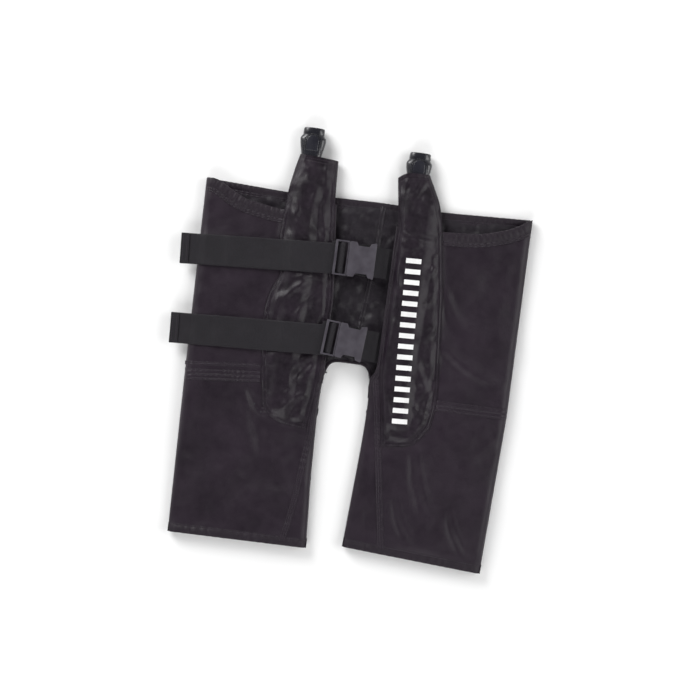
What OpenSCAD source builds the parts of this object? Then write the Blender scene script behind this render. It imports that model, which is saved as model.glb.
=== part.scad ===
// Air-compression garment for hips and thighs, lying flat on its back.
// Millimetres. +Z up out of the front of the garment, +Y towards the waist, +X to the right as seen
// from above. "Left" and "right" are those of the person looking down on it.
// Lengths along X are counted from the middle of the garment's width, and lengths along Y from a
// line 15 mm below the crotch edge. place() then moves the whole model to its own frame.

/* [Garment] */
// Flat width across the hips
waist_w = 538; // [520:1:560]
// Height of the waist corners
waist_y = 285; // [280:1:290]
// Depth of the curved front waist below the corners
front_scoop = 37; // [34:1:44]
// Height of the crotch edge
crotch_y = 15; // [10:1:18]
// Height of the leg hems
hem_y = -295; // [-310:1:-280]
// How far each side tapers in from hip to hem
side_taper = 12; // [8:1:16]
// Gap between the legs below the crotch
leg_gap_top = 74; // [70:1:80]
// Gap between the legs at the hems
leg_gap_hem = 58; // [52:1:64]
// Distance from the middle to each front edge, beside the front opening
front_edge_x = 49; // [47:1:51]

/* [Layers] */
// Thickness of the coated outer fabric
shell_t = 1.2; // [0.8:0.1:1.2]
// Thickness of a deflated air chamber
bladder_t = 3.6; // [3:0.1:3.6]
// Thickness of the lining
lining_t = 1.0; // [0.6:0.1:1]
// Height of the space for the leg between the linings
cavity_h = 8.4; // [8.4:0.1:10]
// Width of the welded border around an air chamber
weld_w = 6; // [5:1:8]

/* [Hose pockets] */
// Height of the hose pockets above the front fabric
pocket_h = 8.2; // [8:0.1:9]
// Outside diameter of an air tube
tube_d = 6.5; // [6:0.1:6.6]
// Bore of an air tube
tube_bore = 4.6; // [4:0.1:4.8]
// Distance between neighbouring air tubes
tube_pitch = 8; // [7.8:0.1:8.2]

/* [Hose connectors] */
// Width of a connector at its shoulder
conn_w = 42; // [40:1:44]
// Thickness of a connector
conn_t = 21; // [20:0.5:21]
// Radius of the round socket in a connector
socket_r = 8; // [7:0.5:8.5]
// Height of the left connector's mouth
conn_top_left = 388; // [384:1:392]
// Height of the right connector's mouth
conn_top_right = 370; // [366:1:374]

/* [Straps] */
// Width of the webbing
web_w = 50; // [48:1:51]
// Thickness of the webbing
web_t = 1.5; // [1.2:0.1:1.6]
// How far the strap ends stick out past the side of the garment
tail_overhang = 27; // [20:1:32]
// Slope of the upper strap
upper_strap_turn = 3.4; // [2:0.1:4]
// Slope of the lower strap
lower_strap_turn = 2.7; // [2:0.1:4]

/* [Buckles] */
// Height of the upper buckle's centre line
upper_buckle_y = 183; // [180:1:186]
// Height of the lower buckle's centre line
lower_buckle_y = 49; // [46:1:52]
// Slope of the lower buckle
lower_buckle_turn = -4.6; // [-5:0.1:0]
// Width of a buckle
buckle_w = 57; // [56:1:58]
// Thickness of a buckle socket
buckle_t = 10.8; // [10.5:0.1:11]

/* [Hidden] */
$fn = 48;
UPPER = 0;
LOWER = 1;
LEFT = -1;
RIGHT = 1;
FRONT = 1;
BACK = -1;

// Layer heights, from the surface that the garment lies on
back_bladder_z = shell_t;
back_lining_z = back_bladder_z + bladder_t;
cavity_z = back_lining_z + lining_t;
front_lining_z = cavity_z + cavity_h;
front_bladder_z = front_lining_z + lining_t;
front_shell_z = front_bladder_z + bladder_t;
front_z = front_shell_z + shell_t;
pocket_top_z = front_z + pocket_h;
side_w = shell_t;
lining_inset = 2;
tape_t = 0.6;
hem_t = 1.0;
hem_w = 16;
front_hem_w = 22;
leg_hem_w = 14;
seam_w = 8;
inseam_w = 10;

// Garment outline points
side_x = waist_w / 2;
back_seam_top = [18, waist_y - 3];
back_seam_low = [3, crotch_y];
function waist_corner(s) = [s * side_x, waist_y];
function thigh_outer(s) = s < 0 ? [-(side_x - 6), -44] : [side_x, -38];
function thigh_inner(s) = s < 0 ? [-leg_gap_top / 2, -24] : [leg_gap_top / 2, -38];
function crotch_corner(s) = s < 0 ? [-leg_gap_top / 2, -14] : [leg_gap_top / 2 + 2, -8];
function crotch_end(s) = s < 0 ? [-27, crotch_y] : [29, crotch_y];
function hem_outer(s) = s < 0 ? [-(side_x - side_taper), hem_y] : [side_x - side_taper + 1, hem_y - 3];
function hem_inner(s) = s < 0 ? [-leg_gap_hem / 2, hem_y + 2] : [leg_gap_hem / 2, hem_y + 12];
front_tip = waist_y - front_scoop - 2;
scoop_left = [[-137, waist_y - front_scoop], [-204, waist_y - 27], [-250, waist_y]];
scoop_right = [[side_x, waist_y], [237, waist_y - 20], [187, waist_y - 35], [126, waist_y - front_scoop - 2]];

// Outlines, each running anticlockwise
back_hip_left_outline = [
    waist_corner(LEFT), thigh_outer(LEFT), thigh_inner(LEFT), crotch_corner(LEFT), crotch_end(LEFT),
    back_seam_low, back_seam_top, [-130, waist_y - 6]
];
back_hip_right_outline = [
    back_seam_top, back_seam_low, crotch_end(RIGHT), crotch_corner(RIGHT), thigh_inner(RIGHT),
    thigh_outer(RIGHT), waist_corner(RIGHT), [120, waist_y - 6]
];
front_hip_left_outline = concat(
    [waist_corner(LEFT), thigh_outer(LEFT), thigh_inner(LEFT), crotch_corner(LEFT)],
    [[-39, 84], [-38, 113], [-53, waist_y - 17]], scoop_left
);
front_hip_right_outline = concat(
    [[front_edge_x, -6], crotch_corner(RIGHT), thigh_inner(RIGHT), thigh_outer(RIGHT)],
    scoop_right, [[front_edge_x + 1, front_tip]]
);
function thigh_outline(s) = s < 0
    ? [thigh_outer(s), hem_outer(s), hem_inner(s), thigh_inner(s)]
    : [thigh_inner(s), hem_inner(s), hem_outer(s), thigh_outer(s)];
function back_hip_outline(s) = s < 0 ? back_hip_left_outline : back_hip_right_outline;
function front_hip_outline(s) = s < 0 ? front_hip_left_outline : front_hip_right_outline;
pocket_left_outline = [
    [-133, waist_y], [-139, 199], [-124, 150], [-142, 116], [-148, 79], [-138, -23], [-130, -71],
    [-119, -86], [-96, -98], [-54, -102], [-44, -20], [-42, 84], [-41, 113], [-56, waist_y]
];
pocket_right_outline = [
    [47, waist_y], [52, front_tip], [52, -6], [60, -38], [70, -113], [122, -108], [146, -72],
    [152, -36], [150, 6], [140, 137], [125, front_tip], [117, waist_y]
];
function pocket_outline(s) = s < 0 ? pocket_left_outline : pocket_right_outline;
function seam_end_x(s) = s < 0 ? -141 : 154;
inseam_left = [[-40, -32], [-50, -135], [-73, hem_y + 6]];
inseam_right = [[45, -10], [53, -38], [61, -100], [76, -200], [92, hem_y + 16]];

// Hose sleeves, tubes and connectors
fold_y = waist_y + 1;
fold_gap = 0.3;
function conn_x(s) = s < 0 ? -104 : 73;
function conn_top(s) = s < 0 ? conn_top_left : conn_top_right;
conn_bottom_z = 1.8;
conn_mid_z = conn_bottom_z + conn_t / 2;
conn_corner_r = 7;
collar_w = 34;
collar_h = 10;
shoulder_h = 17;
conn_foot_w = 33;
conn_visible = 44;
conn_hidden = 14;
conn_wall = 2.5;
mouth_wall = 11;
sleeve_left_plan = [[-133, fold_y], [-56.5, fold_y], [-58.5, 339], [-72, 339], [-122, 343]];
sleeve_right_plan = [[47, fold_y], [117, fold_y], [108, 307], [93, 336], [53, 336], [41.5, 325]];
function sleeve_plan(s) = s < 0 ? sleeve_left_plan : sleeve_right_plan;
sleeve_wall = 1.2;
tube_z = front_z + 3.6;
tube_count = 3;
port_r = 4;
port_hole_r = 4.3;
barb_d = tube_bore - 0.2;
// Where each tube ends, as [tube number from the left, height]
function port_spots(s) = s < 0 ? [[0, -60], [1, 40], [2, 170]] : [[0, 170], [1, 40], [2, -76]];
function tube_x(s, i) = conn_x(s) + (i - (tube_count - 1) / 2) * tube_pitch;

// Release pads in the connectors
pad_w = 20;
pad_len = 26;
pad_t = 3;
pad_gap = 0.4;
pad_proud = 0.2;

// Buckles. Their own frame has X along the webbing and its origin at the middle of the socket.
web_run_z = pocket_top_z + 0.3;
layer_gap = 0.2;
loop_z = web_run_z + web_t + layer_gap;
buckle_z = web_run_z + 0.2;
buckle_top_z = buckle_z + buckle_t;
socket_len = 44;
mouth_x = -socket_len / 2;
end_x = socket_len / 2;
plate_t = 2.2;
socket_wall = 4.2;
prong_z = buckle_z + plate_t + 0.4;
prong_h = buckle_t - 2 * plate_t - 0.8;
notch_x0 = -9;
notch_x1 = 12;
notch_depth = 6;
ladder_x = -45;
rail_w = 4;
side_rail_w = 2.5;
ladder_z = loop_z + 3.5;
ladder_h = 4.5;
bar_x = -34;
bar_w = 4.5;
bar_z = ladder_z + 0.6;
bar_h = 2.6;
crossbar_x = -24.5;
prong_pivot = [-18, 19.5];
prong_pivot_r = 2;
tongue_w = 8;
anchor_bar_x = 16;
anchor_bar_w = 3;
anchor_bar_z = buckle_z + 2.7;
anchor_bar_h = 3.2;
anchor_low_z = front_lining_z - web_t;
function buckle_y(row) = row == UPPER ? upper_buckle_y : lower_buckle_y;
function buckle_turn(row) = row == UPPER ? 0 : lower_buckle_turn;
function strap_turn(row) = row == UPPER ? upper_strap_turn : lower_strap_turn;
// Where the strap's centre line meets the ladder bar
function strap_start(row) = row == UPPER ? [-38, upper_buckle_y - 2.2] : [-40, lower_buckle_y - 1.8];
function strap_len(row) =
    (side_x + tail_overhang + strap_start(row)[0] - web_w / 2 * sin(strap_turn(row)))
    / cos(strap_turn(row));
tail_start = 10;
tail_fold_len = 13;
drape_start = 112;
drape_len = 16;
run_sewn_end = 178;

// The model's own frame: the middle of the bounding box
model_shift = [tail_overhang / 2, -(conn_top_left + hem_y - 3) / 2, 0];

// Plane geometry
function unit(v) = v / norm(v);
function left_of(a, b) = let (d = unit(b - a)) [-d[1], d[0]];
// An anticlockwise outline moved inwards by e, with sharp corners
function inset(points, e) = let (n = len(points)) [
    for (i = [0 : n - 1])
        let (
            a = left_of(points[(i + n - 1) % n], points[i]),
            b = left_of(points[i], points[(i + 1) % n])
        )
        points[i] + (a + b) * e / (1 + a * b)
];
// A line moved to its left by e
function beside(points, e) = let (n = len(points)) [
    for (i = [0 : n - 1])
        let (
            a = i == 0 ? left_of(points[0], points[1]) : left_of(points[i - 1], points[i]),
            b = i == n - 1 ? a : left_of(points[i], points[i + 1])
        )
        points[i] + (a + b) * e / (1 + a * b)
];
// The outline of a tape of width w that lies to the left of a line
function tape(points, w) = let (inner = beside(points, w), n = len(points))
    concat(points, [for (i = [n - 1 : -1 : 0]) inner[i]]);

module place() translate(model_shift) children();

module slab(points, z, h) translate([0, 0, z]) linear_extrude(h) polygon(points);

// The part of an outline within w of its edge from a to b
module edge_strip(points, a, b, w, z, h) {
    d = unit(b - a);
    n = left_of(a, b);
    over = 3;
    intersection() {
        slab(points, z, h);
        slab([a - over * d - over * n, b + over * d - over * n, b + over * d + w * n,
              a - over * d + w * n], z - 1, h + 2);
    }
}

// A side profile, given as [along, height] points, made w wide across the webbing
module across(profile, w) rotate([90, 0, 0]) translate([0, 0, -w / 2]) linear_extrude(w) polygon(profile);

// Outer fabric
module back_panel(outline) color([0.17, 0.14, 0.18]) slab(outline, 0, shell_t);

module front_panel(outline, edges) color([0.18, 0.15, 0.19]) {
    slab(outline, front_shell_z, shell_t);
    for (edge = edges)
        edge_strip(outline, edge[0], edge[1], side_w, back_bladder_z, front_z - back_bladder_z);
}

module port_holes(s) for (spot = port_spots(s))
    translate([tube_x(s, spot[0]), spot[1], front_lining_z]) cylinder(r = port_hole_r, h = 12);

module back_hip(s) back_panel(back_hip_outline(s));

module back_thigh(s) back_panel(thigh_outline(s));

module front_hip(s) difference() {
    front_panel(front_hip_outline(s), [s < 0
        ? [waist_corner(s), thigh_outer(s)] : [thigh_outer(s), waist_corner(s)]]);
    port_holes(s);
}

module front_thigh(s) difference() {
    front_panel(thigh_outline(s), s < 0
        ? [[thigh_outer(s), hem_outer(s)], [hem_inner(s), thigh_inner(s)]]
        : [[thigh_inner(s), hem_inner(s)], [hem_outer(s), thigh_outer(s)]]);
    port_holes(s);
}

// Air chambers: an upper and a lower one round the hip, and one round the thigh
module hip_bladder(s) color([0.45, 0.45, 0.48]) {
    split_y = 110;
    for (level = [[back_hip_outline(s), back_bladder_z], [front_hip_outline(s), front_bladder_z]])
        difference() {
            slab(inset(level[0], weld_w), level[1], bladder_t);
            translate([-waist_w, split_y - weld_w / 2, level[1] - 1])
                cube([2 * waist_w, weld_w, bladder_t + 2]);
        }
}

module thigh_bladder(s) color([0.45, 0.45, 0.48])
    for (z = [back_bladder_z, front_bladder_z]) slab(inset(thigh_outline(s), weld_w), z, bladder_t);

// Lining
module lining(s) color([0.14, 0.13, 0.16]) {
    for (outline = [back_hip_outline(s), thigh_outline(s)])
        slab(inset(outline, lining_inset), back_lining_z, lining_t);
    for (outline = [front_hip_outline(s), thigh_outline(s)])
        slab(inset(outline, lining_inset), front_lining_z, lining_t);
}

// Hems and seams
module waist_hem_back() color([0.15, 0.13, 0.16])
    slab(tape([[side_x - 4, waist_y - 4], [120, waist_y - 10], [18, waist_y - 7],
               [-130, waist_y - 10], [-side_x + 4, waist_y - 4]], hem_w), cavity_z, hem_t);

module waist_hem(s) color([0.15, 0.13, 0.16]) intersection() {
    line = s < 0
        ? [[-142, waist_y - front_scoop], [-204, waist_y - 28], [-249, waist_y - 2]]
        : [[side_x - 1, waist_y - 2], [237, waist_y - 21], [187, waist_y - 36],
           [130, waist_y - front_scoop - 3]];
    slab(tape(line, front_hem_w), front_z, hem_t);
    slab(inset(front_hip_outline(s), 1), front_z - 1, hem_t + 2);
}

module leg_hem(s) color([0.16, 0.13, 0.17]) {
    ends = s < 0 ? [hem_outer(s), hem_inner(s)] : [hem_inner(s), hem_outer(s)];
    inner = inset(thigh_outline(s), lining_inset);
    edge_strip(inner, ends[0], ends[1], leg_hem_w, cavity_z, hem_t);
    edge_strip(inner, ends[0], ends[1], leg_hem_w, front_lining_z - hem_t, hem_t);
}

module thigh_seam(s) color([0.2, 0.17, 0.21]) {
    d = unit(thigh_inner(s) - thigh_outer(s));
    start = thigh_outer(s) + d;
    stop = start + d * abs((seam_end_x(s) - start[0]) / d[0]);
    slab(tape(beside([start, stop], -seam_w / 2), seam_w), front_z, tape_t);
}

module inseam(s) color([0.2, 0.17, 0.21])
    slab(tape(beside(s < 0 ? inseam_left : inseam_right, -inseam_w / 2), inseam_w), front_z, tape_t);

// Hose pockets on the front, with the air tubes and their ports
module hose_pocket(s) color([0.13, 0.1, 0.14]) difference() {
    slab(pocket_outline(s), front_z, pocket_h);
    slab(inset(pocket_outline(s), sleeve_wall), front_z - 1, pocket_h + 1 - sleeve_wall);
    translate([-waist_w, fold_y - sleeve_wall - 2, front_z - 1]) cube([2 * waist_w, 10, pocket_h - 0.2]);
}

module tube_between(a, b, d, bore) {
    v = b - a;
    translate(a) rotate([atan2(v[2], v[1]) - 90, 0, 0])
        difference() {
            cylinder(d = d, h = norm(v));
            translate([0, 0, -1]) cylinder(d = bore, h = norm(v) + 2);
        }
}

module air_tubes(s) color([0.8, 0.8, 0.82])
    for (spot = port_spots(s)) {
        x = tube_x(s, spot[0]);
        tube_between([x, spot[1] + port_r + 0.3, tube_z], [x, fold_y - 2, tube_z], tube_d, tube_bore);
    }

module air_ports(s) color([0.2, 0.2, 0.22])
    for (spot = port_spots(s)) translate([tube_x(s, spot[0]), spot[1], 0]) {
        translate([0, 0, front_shell_z]) cylinder(r = port_r, h = tube_z + 2.8 - front_shell_z);
        translate([0, 0, tube_z]) rotate([-90, 0, 0]) cylinder(d = barb_d, h = port_r + 10);
    }

// Sleeve that carries the tubes past the waist to the connector
module sleeve_block(s, e) {
    top_y = s < 0 ? 343 : 336;
    out = e > 0 ? 8 : 0;
    plan = e > 0 ? inset(sleeve_plan(s), e) : sleeve_plan(s);
    intersection() {
        slab([for (p = plan) [p[0], p[1] < fold_y + 3 ? fold_y - out : p[1] + (p[1] > 320 ? out : 0)]],
             -5, 60);
        rotate([90, 0, 90]) translate([0, 0, -300]) linear_extrude(600) polygon([
            [fold_y - out, front_z - 3 + e], [fold_y + 8, 10 + e], [fold_y + 24, 0.2 + e],
            [top_y + 10, 0.2 + e], [top_y + 10, conn_mid_z + conn_t / 2 + 1.6 - e],
            [fold_y + 22, conn_mid_z + conn_t / 2 + 1.6 - e], [fold_y + 6, pocket_top_z - 0.4 - e],
            [fold_y - out, pocket_top_z - e]
        ]);
    }
}

module sleeve(s) color([0.13, 0.1, 0.14]) difference() {
    intersection() {
        sleeve_block(s, 0);
        translate([-300, fold_y + fold_gap, -1]) cube([600, 100, 60]);
    }
    sleeve_block(s, sleeve_wall);
}

module neck_tubes(s) color([0.8, 0.8, 0.82])
    for (i = [0 : tube_count - 1])
        tube_between(
            [tube_x(s, i), fold_y + 2, tube_z - 1.6],
            [tube_x(s, i), conn_top(s) - conn_visible - conn_hidden - 1, conn_mid_z],
            tube_d, tube_bore
        );

// Connector: a hollow shell with a collar, a shoulder and a foot inside the sleeve
module conn_plan(top, e) polygon([
    for (side = [1, -1], p = side > 0
        ? [[conn_foot_w / 2, -conn_visible - conn_hidden], [conn_foot_w / 2, -conn_visible],
           [conn_w / 2, -shoulder_h], [collar_w / 2 + 0.8, -collar_h], [collar_w / 2, 0]]
        : [[collar_w / 2, 0], [collar_w / 2 + 0.8, -collar_h], [conn_w / 2, -shoulder_h],
           [conn_foot_w / 2, -conn_visible], [conn_foot_w / 2, -conn_visible - conn_hidden]])
        [side * (p[0] - e), top + p[1]]
]);

module conn_section(e) {
    w = conn_w - 2 * e;
    t = conn_t - 2 * e;
    r = conn_corner_r - e / 2;
    rotate([90, 0, 0]) translate([0, 0, -500]) linear_extrude(300) {
        square([w - 2 * r, t], center = true);
        square([w, t - 2 * r], center = true);
        for (x = [-1, 1], y = [-1, 1]) translate([x * (w / 2 - r), y * (t / 2 - r)]) circle(r);
    }
}

module conn_block(s, e) intersection() {
    translate([conn_x(s), 0, conn_mid_z - 30]) linear_extrude(60) conn_plan(conn_top(s), e);
    translate([conn_x(s), 0, conn_mid_z]) conn_section(e);
}

function pad_y(s) = conn_top(s) - shoulder_h + 5 - pad_len;

module pad_plan(s, e) translate([conn_x(s), pad_y(s)]) {
    translate([-pad_w / 2 + e, e]) square([pad_w - 2 * e, pad_len - pad_w / 2 - e]);
    translate([0, pad_len - pad_w / 2]) circle(pad_w / 2 - e);
}

module connector(s) color([0.14, 0.14, 0.16]) difference() {
    conn_block(s, 0);
    translate([0, -mouth_wall, 0]) conn_block(s, conn_wall);
    translate([conn_x(s), conn_top(s) + 1, conn_mid_z]) rotate([90, 0, 0]) cylinder(r = socket_r, h = 40);
    translate([0, 0, conn_mid_z - 30]) linear_extrude(60) pad_plan(s, 0);
}

module manifold(s) color([0.2, 0.2, 0.22]) {
    foot = conn_top(s) - conn_visible - conn_hidden;
    face = conn_top(s) - 26;
    difference() {
        translate([conn_x(s) - 14, foot + 2, conn_mid_z - 5]) cube([28, face - foot - 2, 10]);
        for (i = [0 : tube_count - 1])
            translate([tube_x(s, i), face + 1, conn_mid_z]) rotate([90, 0, 0])
                cylinder(d = 4, h = face - foot + 10);
    }
}

// A release pad in the front or back face of a connector
module pad(s, face) color([0.2, 0.2, 0.23])
    translate([0, 0, conn_mid_z + face * (conn_t / 2 - pad_t / 2 + pad_proud) - pad_t / 2])
        linear_extrude(pad_t) pad_plan(s, pad_gap);

// Buckles and straps
module in_buckle(row) translate([0, buckle_y(row), 0]) rotate([0, 0, buckle_turn(row)]) children();

module in_strap(row)
    translate([strap_start(row)[0], strap_start(row)[1], 0]) rotate([0, 0, 180 + strap_turn(row)])
        children();

// Outline of the socket's plates, with a bite out of each side for the prongs' grips
module socket_plan() {
    half = buckle_w / 2;
    polygon(concat(
        [[mouth_x, -half + 1.5], [mouth_x + 2, -half], [notch_x0 - 2, -half],
         [notch_x0 + 1.5, -half + notch_depth], [notch_x1 - 1.5, -half + notch_depth],
         [notch_x1 + 1, -half + 1], [end_x - 1, -half - 1], [end_x, -half + 2]],
        [[end_x, half - 2], [end_x - 1, half + 1], [notch_x1 + 1, half - 1],
         [notch_x1 - 1.5, half - notch_depth], [notch_x0 + 1.5, half - notch_depth],
         [notch_x0 - 2, half], [mouth_x + 2, half], [mouth_x, half - 1.5]]
    ));
}

module buckle_socket(row) color([0.3, 0.28, 0.32]) in_buckle(row) {
    half = buckle_w / 2;
    inner = half - socket_wall;
    difference() {
        translate([0, 0, buckle_z]) linear_extrude(buckle_t) socket_plan();
        // The space for the plug, right through the windows at the sides
        translate([mouth_x - 1, -inner, buckle_z + plate_t])
            cube([notch_x1 - mouth_x + 1, 2 * inner, buckle_t - 2 * plate_t]);
        translate([notch_x0, -half - 5, buckle_z + plate_t])
            cube([notch_x1 - notch_x0, buckle_w + 10, buckle_t - 2 * plate_t]);
        // The space for the webbing behind it, open at the end and below
        translate([notch_x1 + 1.5, -web_w / 2 - 0.3, buckle_z - 1])
            cube([end_x - notch_x1, web_w + 0.6, buckle_t - plate_t + 1]);
    }
    translate([anchor_bar_x, -web_w / 2 - 1, anchor_bar_z]) cube([anchor_bar_w, web_w + 2, anchor_bar_h]);
}

module buckle_plug(row) color([0.3, 0.28, 0.32]) in_buckle(row) {
    half = buckle_w / 2;
    // Ladder frame that the webbing runs through
    difference() {
        translate([ladder_x, -half, ladder_z])
            cube([crossbar_x - ladder_x + 2.2, buckle_w, ladder_h]);
        translate([ladder_x + rail_w, -half + side_rail_w, ladder_z - 1])
            cube([crossbar_x - ladder_x - rail_w, buckle_w - 2 * side_rail_w, ladder_h + 2]);
    }
    translate([bar_x, -half + 1, bar_z]) cube([bar_w, buckle_w - 2, bar_h]);
    // Base inside the mouth, with a seat for each prong, and the middle guide
    difference() {
        translate([crossbar_x, -22, prong_z]) cube([-17 - crossbar_x, 44, prong_h]);
        for (side = [-1, 1])
            translate([prong_pivot[0], side * prong_pivot[1], prong_z - 1])
                cylinder(r = prong_pivot_r + 0.25, h = prong_h + 2);
    }
    translate([-18, -tongue_w / 2, prong_z + 0.6]) cube([26, tongue_w, prong_h - 1.2]);
}

// Spring prong: side +1 is the one towards the waist
module prong(row, side) color([0.08, 0.08, 0.09]) in_buckle(row)
    translate([0, 0, prong_z]) linear_extrude(prong_h) scale([1, side]) {
        translate(prong_pivot) circle(prong_pivot_r);
        polygon([
            [-18, 18], [-6, 18.6], [0, 18.6], [8, 19], [11, 21.5], [9.5, 25], [6, 26], [2, 25.4],
            [-4, 24.4], [-7.5, 24], [-7.5, 22], [-10, 21.4], [-18, 21]
        ]);
    }

// Webbing folded round the ladder's bar
module strap_loop(row) color([0.15, 0.13, 0.16]) in_buckle(row) difference() {
    across([[-46.5, loop_z], [bar_x + bar_w, loop_z], [bar_x + bar_w + web_t, bar_z],
            [bar_x + bar_w + web_t, bar_z + bar_h], [bar_x + bar_w, bar_z + bar_h + web_t],
            [bar_x, bar_z + bar_h + web_t], [bar_x - web_t, bar_z + bar_h],
            [bar_x - web_t, loop_z + 3.2], [-46.5, loop_z + 3.2]], web_w);
    translate([bar_x, -web_w, bar_z]) cube([bar_w, 2 * web_w, bar_h]);
}

// Lower run, from the ladder down over the hose pocket to where it is sewn to the front
module strap_run(row) color([0.15, 0.13, 0.16]) in_strap(row) across([
    [-2, web_run_z], [drape_start, web_run_z], [drape_start + drape_len, front_z],
    [run_sewn_end, front_z], [run_sewn_end, front_z + web_t],
    [drape_start + drape_len + 0.6, front_z + web_t], [drape_start + 0.6, web_run_z + web_t],
    [-2, web_run_z + web_t]
], web_w);

// Free end, lying on the lower run, with its tip folded back and stitched
module strap_tail(row) color([0.15, 0.13, 0.16]) in_strap(row) {
    low = front_z + web_t + layer_gap;
    foot = drape_start + drape_len + 1.6;
    across([
        [tail_start, loop_z], [drape_start + 1.6, loop_z], [foot, low], [strap_len(row), low],
        [strap_len(row), low + 2 * web_t], [strap_len(row) - tail_fold_len, low + 2 * web_t],
        [strap_len(row) - tail_fold_len, low + web_t], [foot + 0.6, low + web_t],
        [drape_start + 2.2, loop_z + web_t], [tail_start, loop_z + web_t]
    ], web_w);
}

// Sewn end: round the socket's bar, then down and under the right front panel
module strap_anchor(row) color([0.15, 0.13, 0.16]) in_buckle(row) difference() {
    left = anchor_bar_x - web_t;
    right = anchor_bar_x + anchor_bar_w + web_t;
    across([
        [left, anchor_bar_z - web_t], [right, anchor_bar_z - web_t], [43, anchor_low_z],
        [72, anchor_low_z], [72, anchor_low_z + web_t], [44.5, anchor_low_z + web_t],
        [right + 1.5, anchor_bar_z + 1], [right, anchor_bar_z + anchor_bar_h + web_t],
        [left, anchor_bar_z + anchor_bar_h + web_t]
    ], web_w);
    translate([anchor_bar_x, -web_w, anchor_bar_z]) cube([anchor_bar_w, 2 * web_w, anchor_bar_h]);
}

place() back_hip(LEFT);  // back_hip_left
place() back_hip(RIGHT);  // back_hip_right
place() back_thigh(LEFT);  // back_thigh_left
place() back_thigh(RIGHT);  // back_thigh_right
place() front_hip(LEFT);  // front_hip_left
place() front_hip(RIGHT);  // front_hip_right
place() front_thigh(LEFT);  // front_thigh_left
place() front_thigh(RIGHT);  // front_thigh_right
place() hip_bladder(LEFT);  // hip_bladder_left
place() hip_bladder(RIGHT);  // hip_bladder_right
place() thigh_bladder(LEFT);  // thigh_bladder_left
place() thigh_bladder(RIGHT);  // thigh_bladder_right
place() lining(LEFT);  // lining_left
place() lining(RIGHT);  // lining_right
place() waist_hem_back();
place() waist_hem(LEFT);  // waist_hem_left
place() waist_hem(RIGHT);  // waist_hem_right
place() leg_hem(LEFT);  // leg_hem_left
place() leg_hem(RIGHT);  // leg_hem_right
place() thigh_seam(LEFT);  // thigh_seam_left
place() thigh_seam(RIGHT);  // thigh_seam_right
place() inseam(LEFT);  // inseam_left
place() inseam(RIGHT);  // inseam_right
place() hose_pocket(LEFT);  // hose_pocket_left
place() hose_pocket(RIGHT);  // hose_pocket_right
place() air_tubes(LEFT);  // air_tubes_left
place() air_tubes(RIGHT);  // air_tubes_right
place() air_ports(LEFT);  // air_ports_left
place() air_ports(RIGHT);  // air_ports_right
place() sleeve(LEFT);  // sleeve_left
place() sleeve(RIGHT);  // sleeve_right
place() neck_tubes(LEFT);  // neck_tubes_left
place() neck_tubes(RIGHT);  // neck_tubes_right
place() connector(LEFT);  // connector_left
place() connector(RIGHT);  // connector_right
place() manifold(LEFT);  // manifold_left
place() manifold(RIGHT);  // manifold_right
place() pad(LEFT, FRONT);  // front_pad_left
place() pad(LEFT, BACK);  // back_pad_left
place() pad(RIGHT, FRONT);  // front_pad_right
place() pad(RIGHT, BACK);  // back_pad_right
place() strap_run(UPPER);  // strap_run_upper
place() strap_run(LOWER);  // strap_run_lower
place() strap_loop(UPPER);  // strap_loop_upper
place() strap_loop(LOWER);  // strap_loop_lower
place() strap_tail(UPPER);  // strap_tail_upper
place() strap_tail(LOWER);  // strap_tail_lower
place() strap_anchor(UPPER);  // strap_anchor_upper
place() strap_anchor(LOWER);  // strap_anchor_lower
place() buckle_socket(UPPER);  // buckle_socket_upper
place() buckle_socket(LOWER);  // buckle_socket_lower
place() buckle_plug(UPPER);  // buckle_plug_upper
place() buckle_plug(LOWER);  // buckle_plug_lower
place() prong(UPPER, 1);  // waist_prong_upper
place() prong(UPPER, -1);  // hem_prong_upper
place() prong(LOWER, 1);  // waist_prong_lower
place() prong(LOWER, -1);  // hem_prong_lower
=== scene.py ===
"""Looks of an air-compression hip garment, laid flat on its back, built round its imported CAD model."""

import math

import bmesh
import bpy
import numpy as np
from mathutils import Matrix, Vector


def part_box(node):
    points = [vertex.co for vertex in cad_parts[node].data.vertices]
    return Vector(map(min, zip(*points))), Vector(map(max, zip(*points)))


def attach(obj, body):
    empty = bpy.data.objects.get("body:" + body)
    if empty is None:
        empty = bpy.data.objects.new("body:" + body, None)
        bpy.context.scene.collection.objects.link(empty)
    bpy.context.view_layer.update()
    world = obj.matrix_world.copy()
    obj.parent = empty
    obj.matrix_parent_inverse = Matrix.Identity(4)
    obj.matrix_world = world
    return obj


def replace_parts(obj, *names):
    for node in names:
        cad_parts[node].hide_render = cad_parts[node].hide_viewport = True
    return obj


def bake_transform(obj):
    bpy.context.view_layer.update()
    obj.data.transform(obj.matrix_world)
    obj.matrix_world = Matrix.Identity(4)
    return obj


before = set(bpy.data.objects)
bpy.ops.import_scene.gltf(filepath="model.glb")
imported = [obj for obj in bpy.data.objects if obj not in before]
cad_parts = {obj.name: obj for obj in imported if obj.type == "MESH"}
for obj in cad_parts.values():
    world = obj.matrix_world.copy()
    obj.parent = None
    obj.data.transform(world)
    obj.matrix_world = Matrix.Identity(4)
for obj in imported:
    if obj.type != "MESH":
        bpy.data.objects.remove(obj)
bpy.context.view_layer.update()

# The garment's own plan coordinates are millimetres, tied to the CAD model by two of its corners
SIDE_X, WAIST_Y = 269.0, 285.0
back_low, back_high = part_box("back_hip_left")
SHIFT = np.array([back_low.x * 1000 + SIDE_X, back_high.y * 1000 - WAIST_Y, 0.0])
FRONT_Z, MID_Z, SHELL_T, WALL_T, POCKET_H = 20.0, 10.0, 1.2, 5.8, 8.2
LEFT, RIGHT = "left", "right"


def at(x, y, z):
    return tuple((np.array([x, y, z]) + SHIFT) / 1000)


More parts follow.
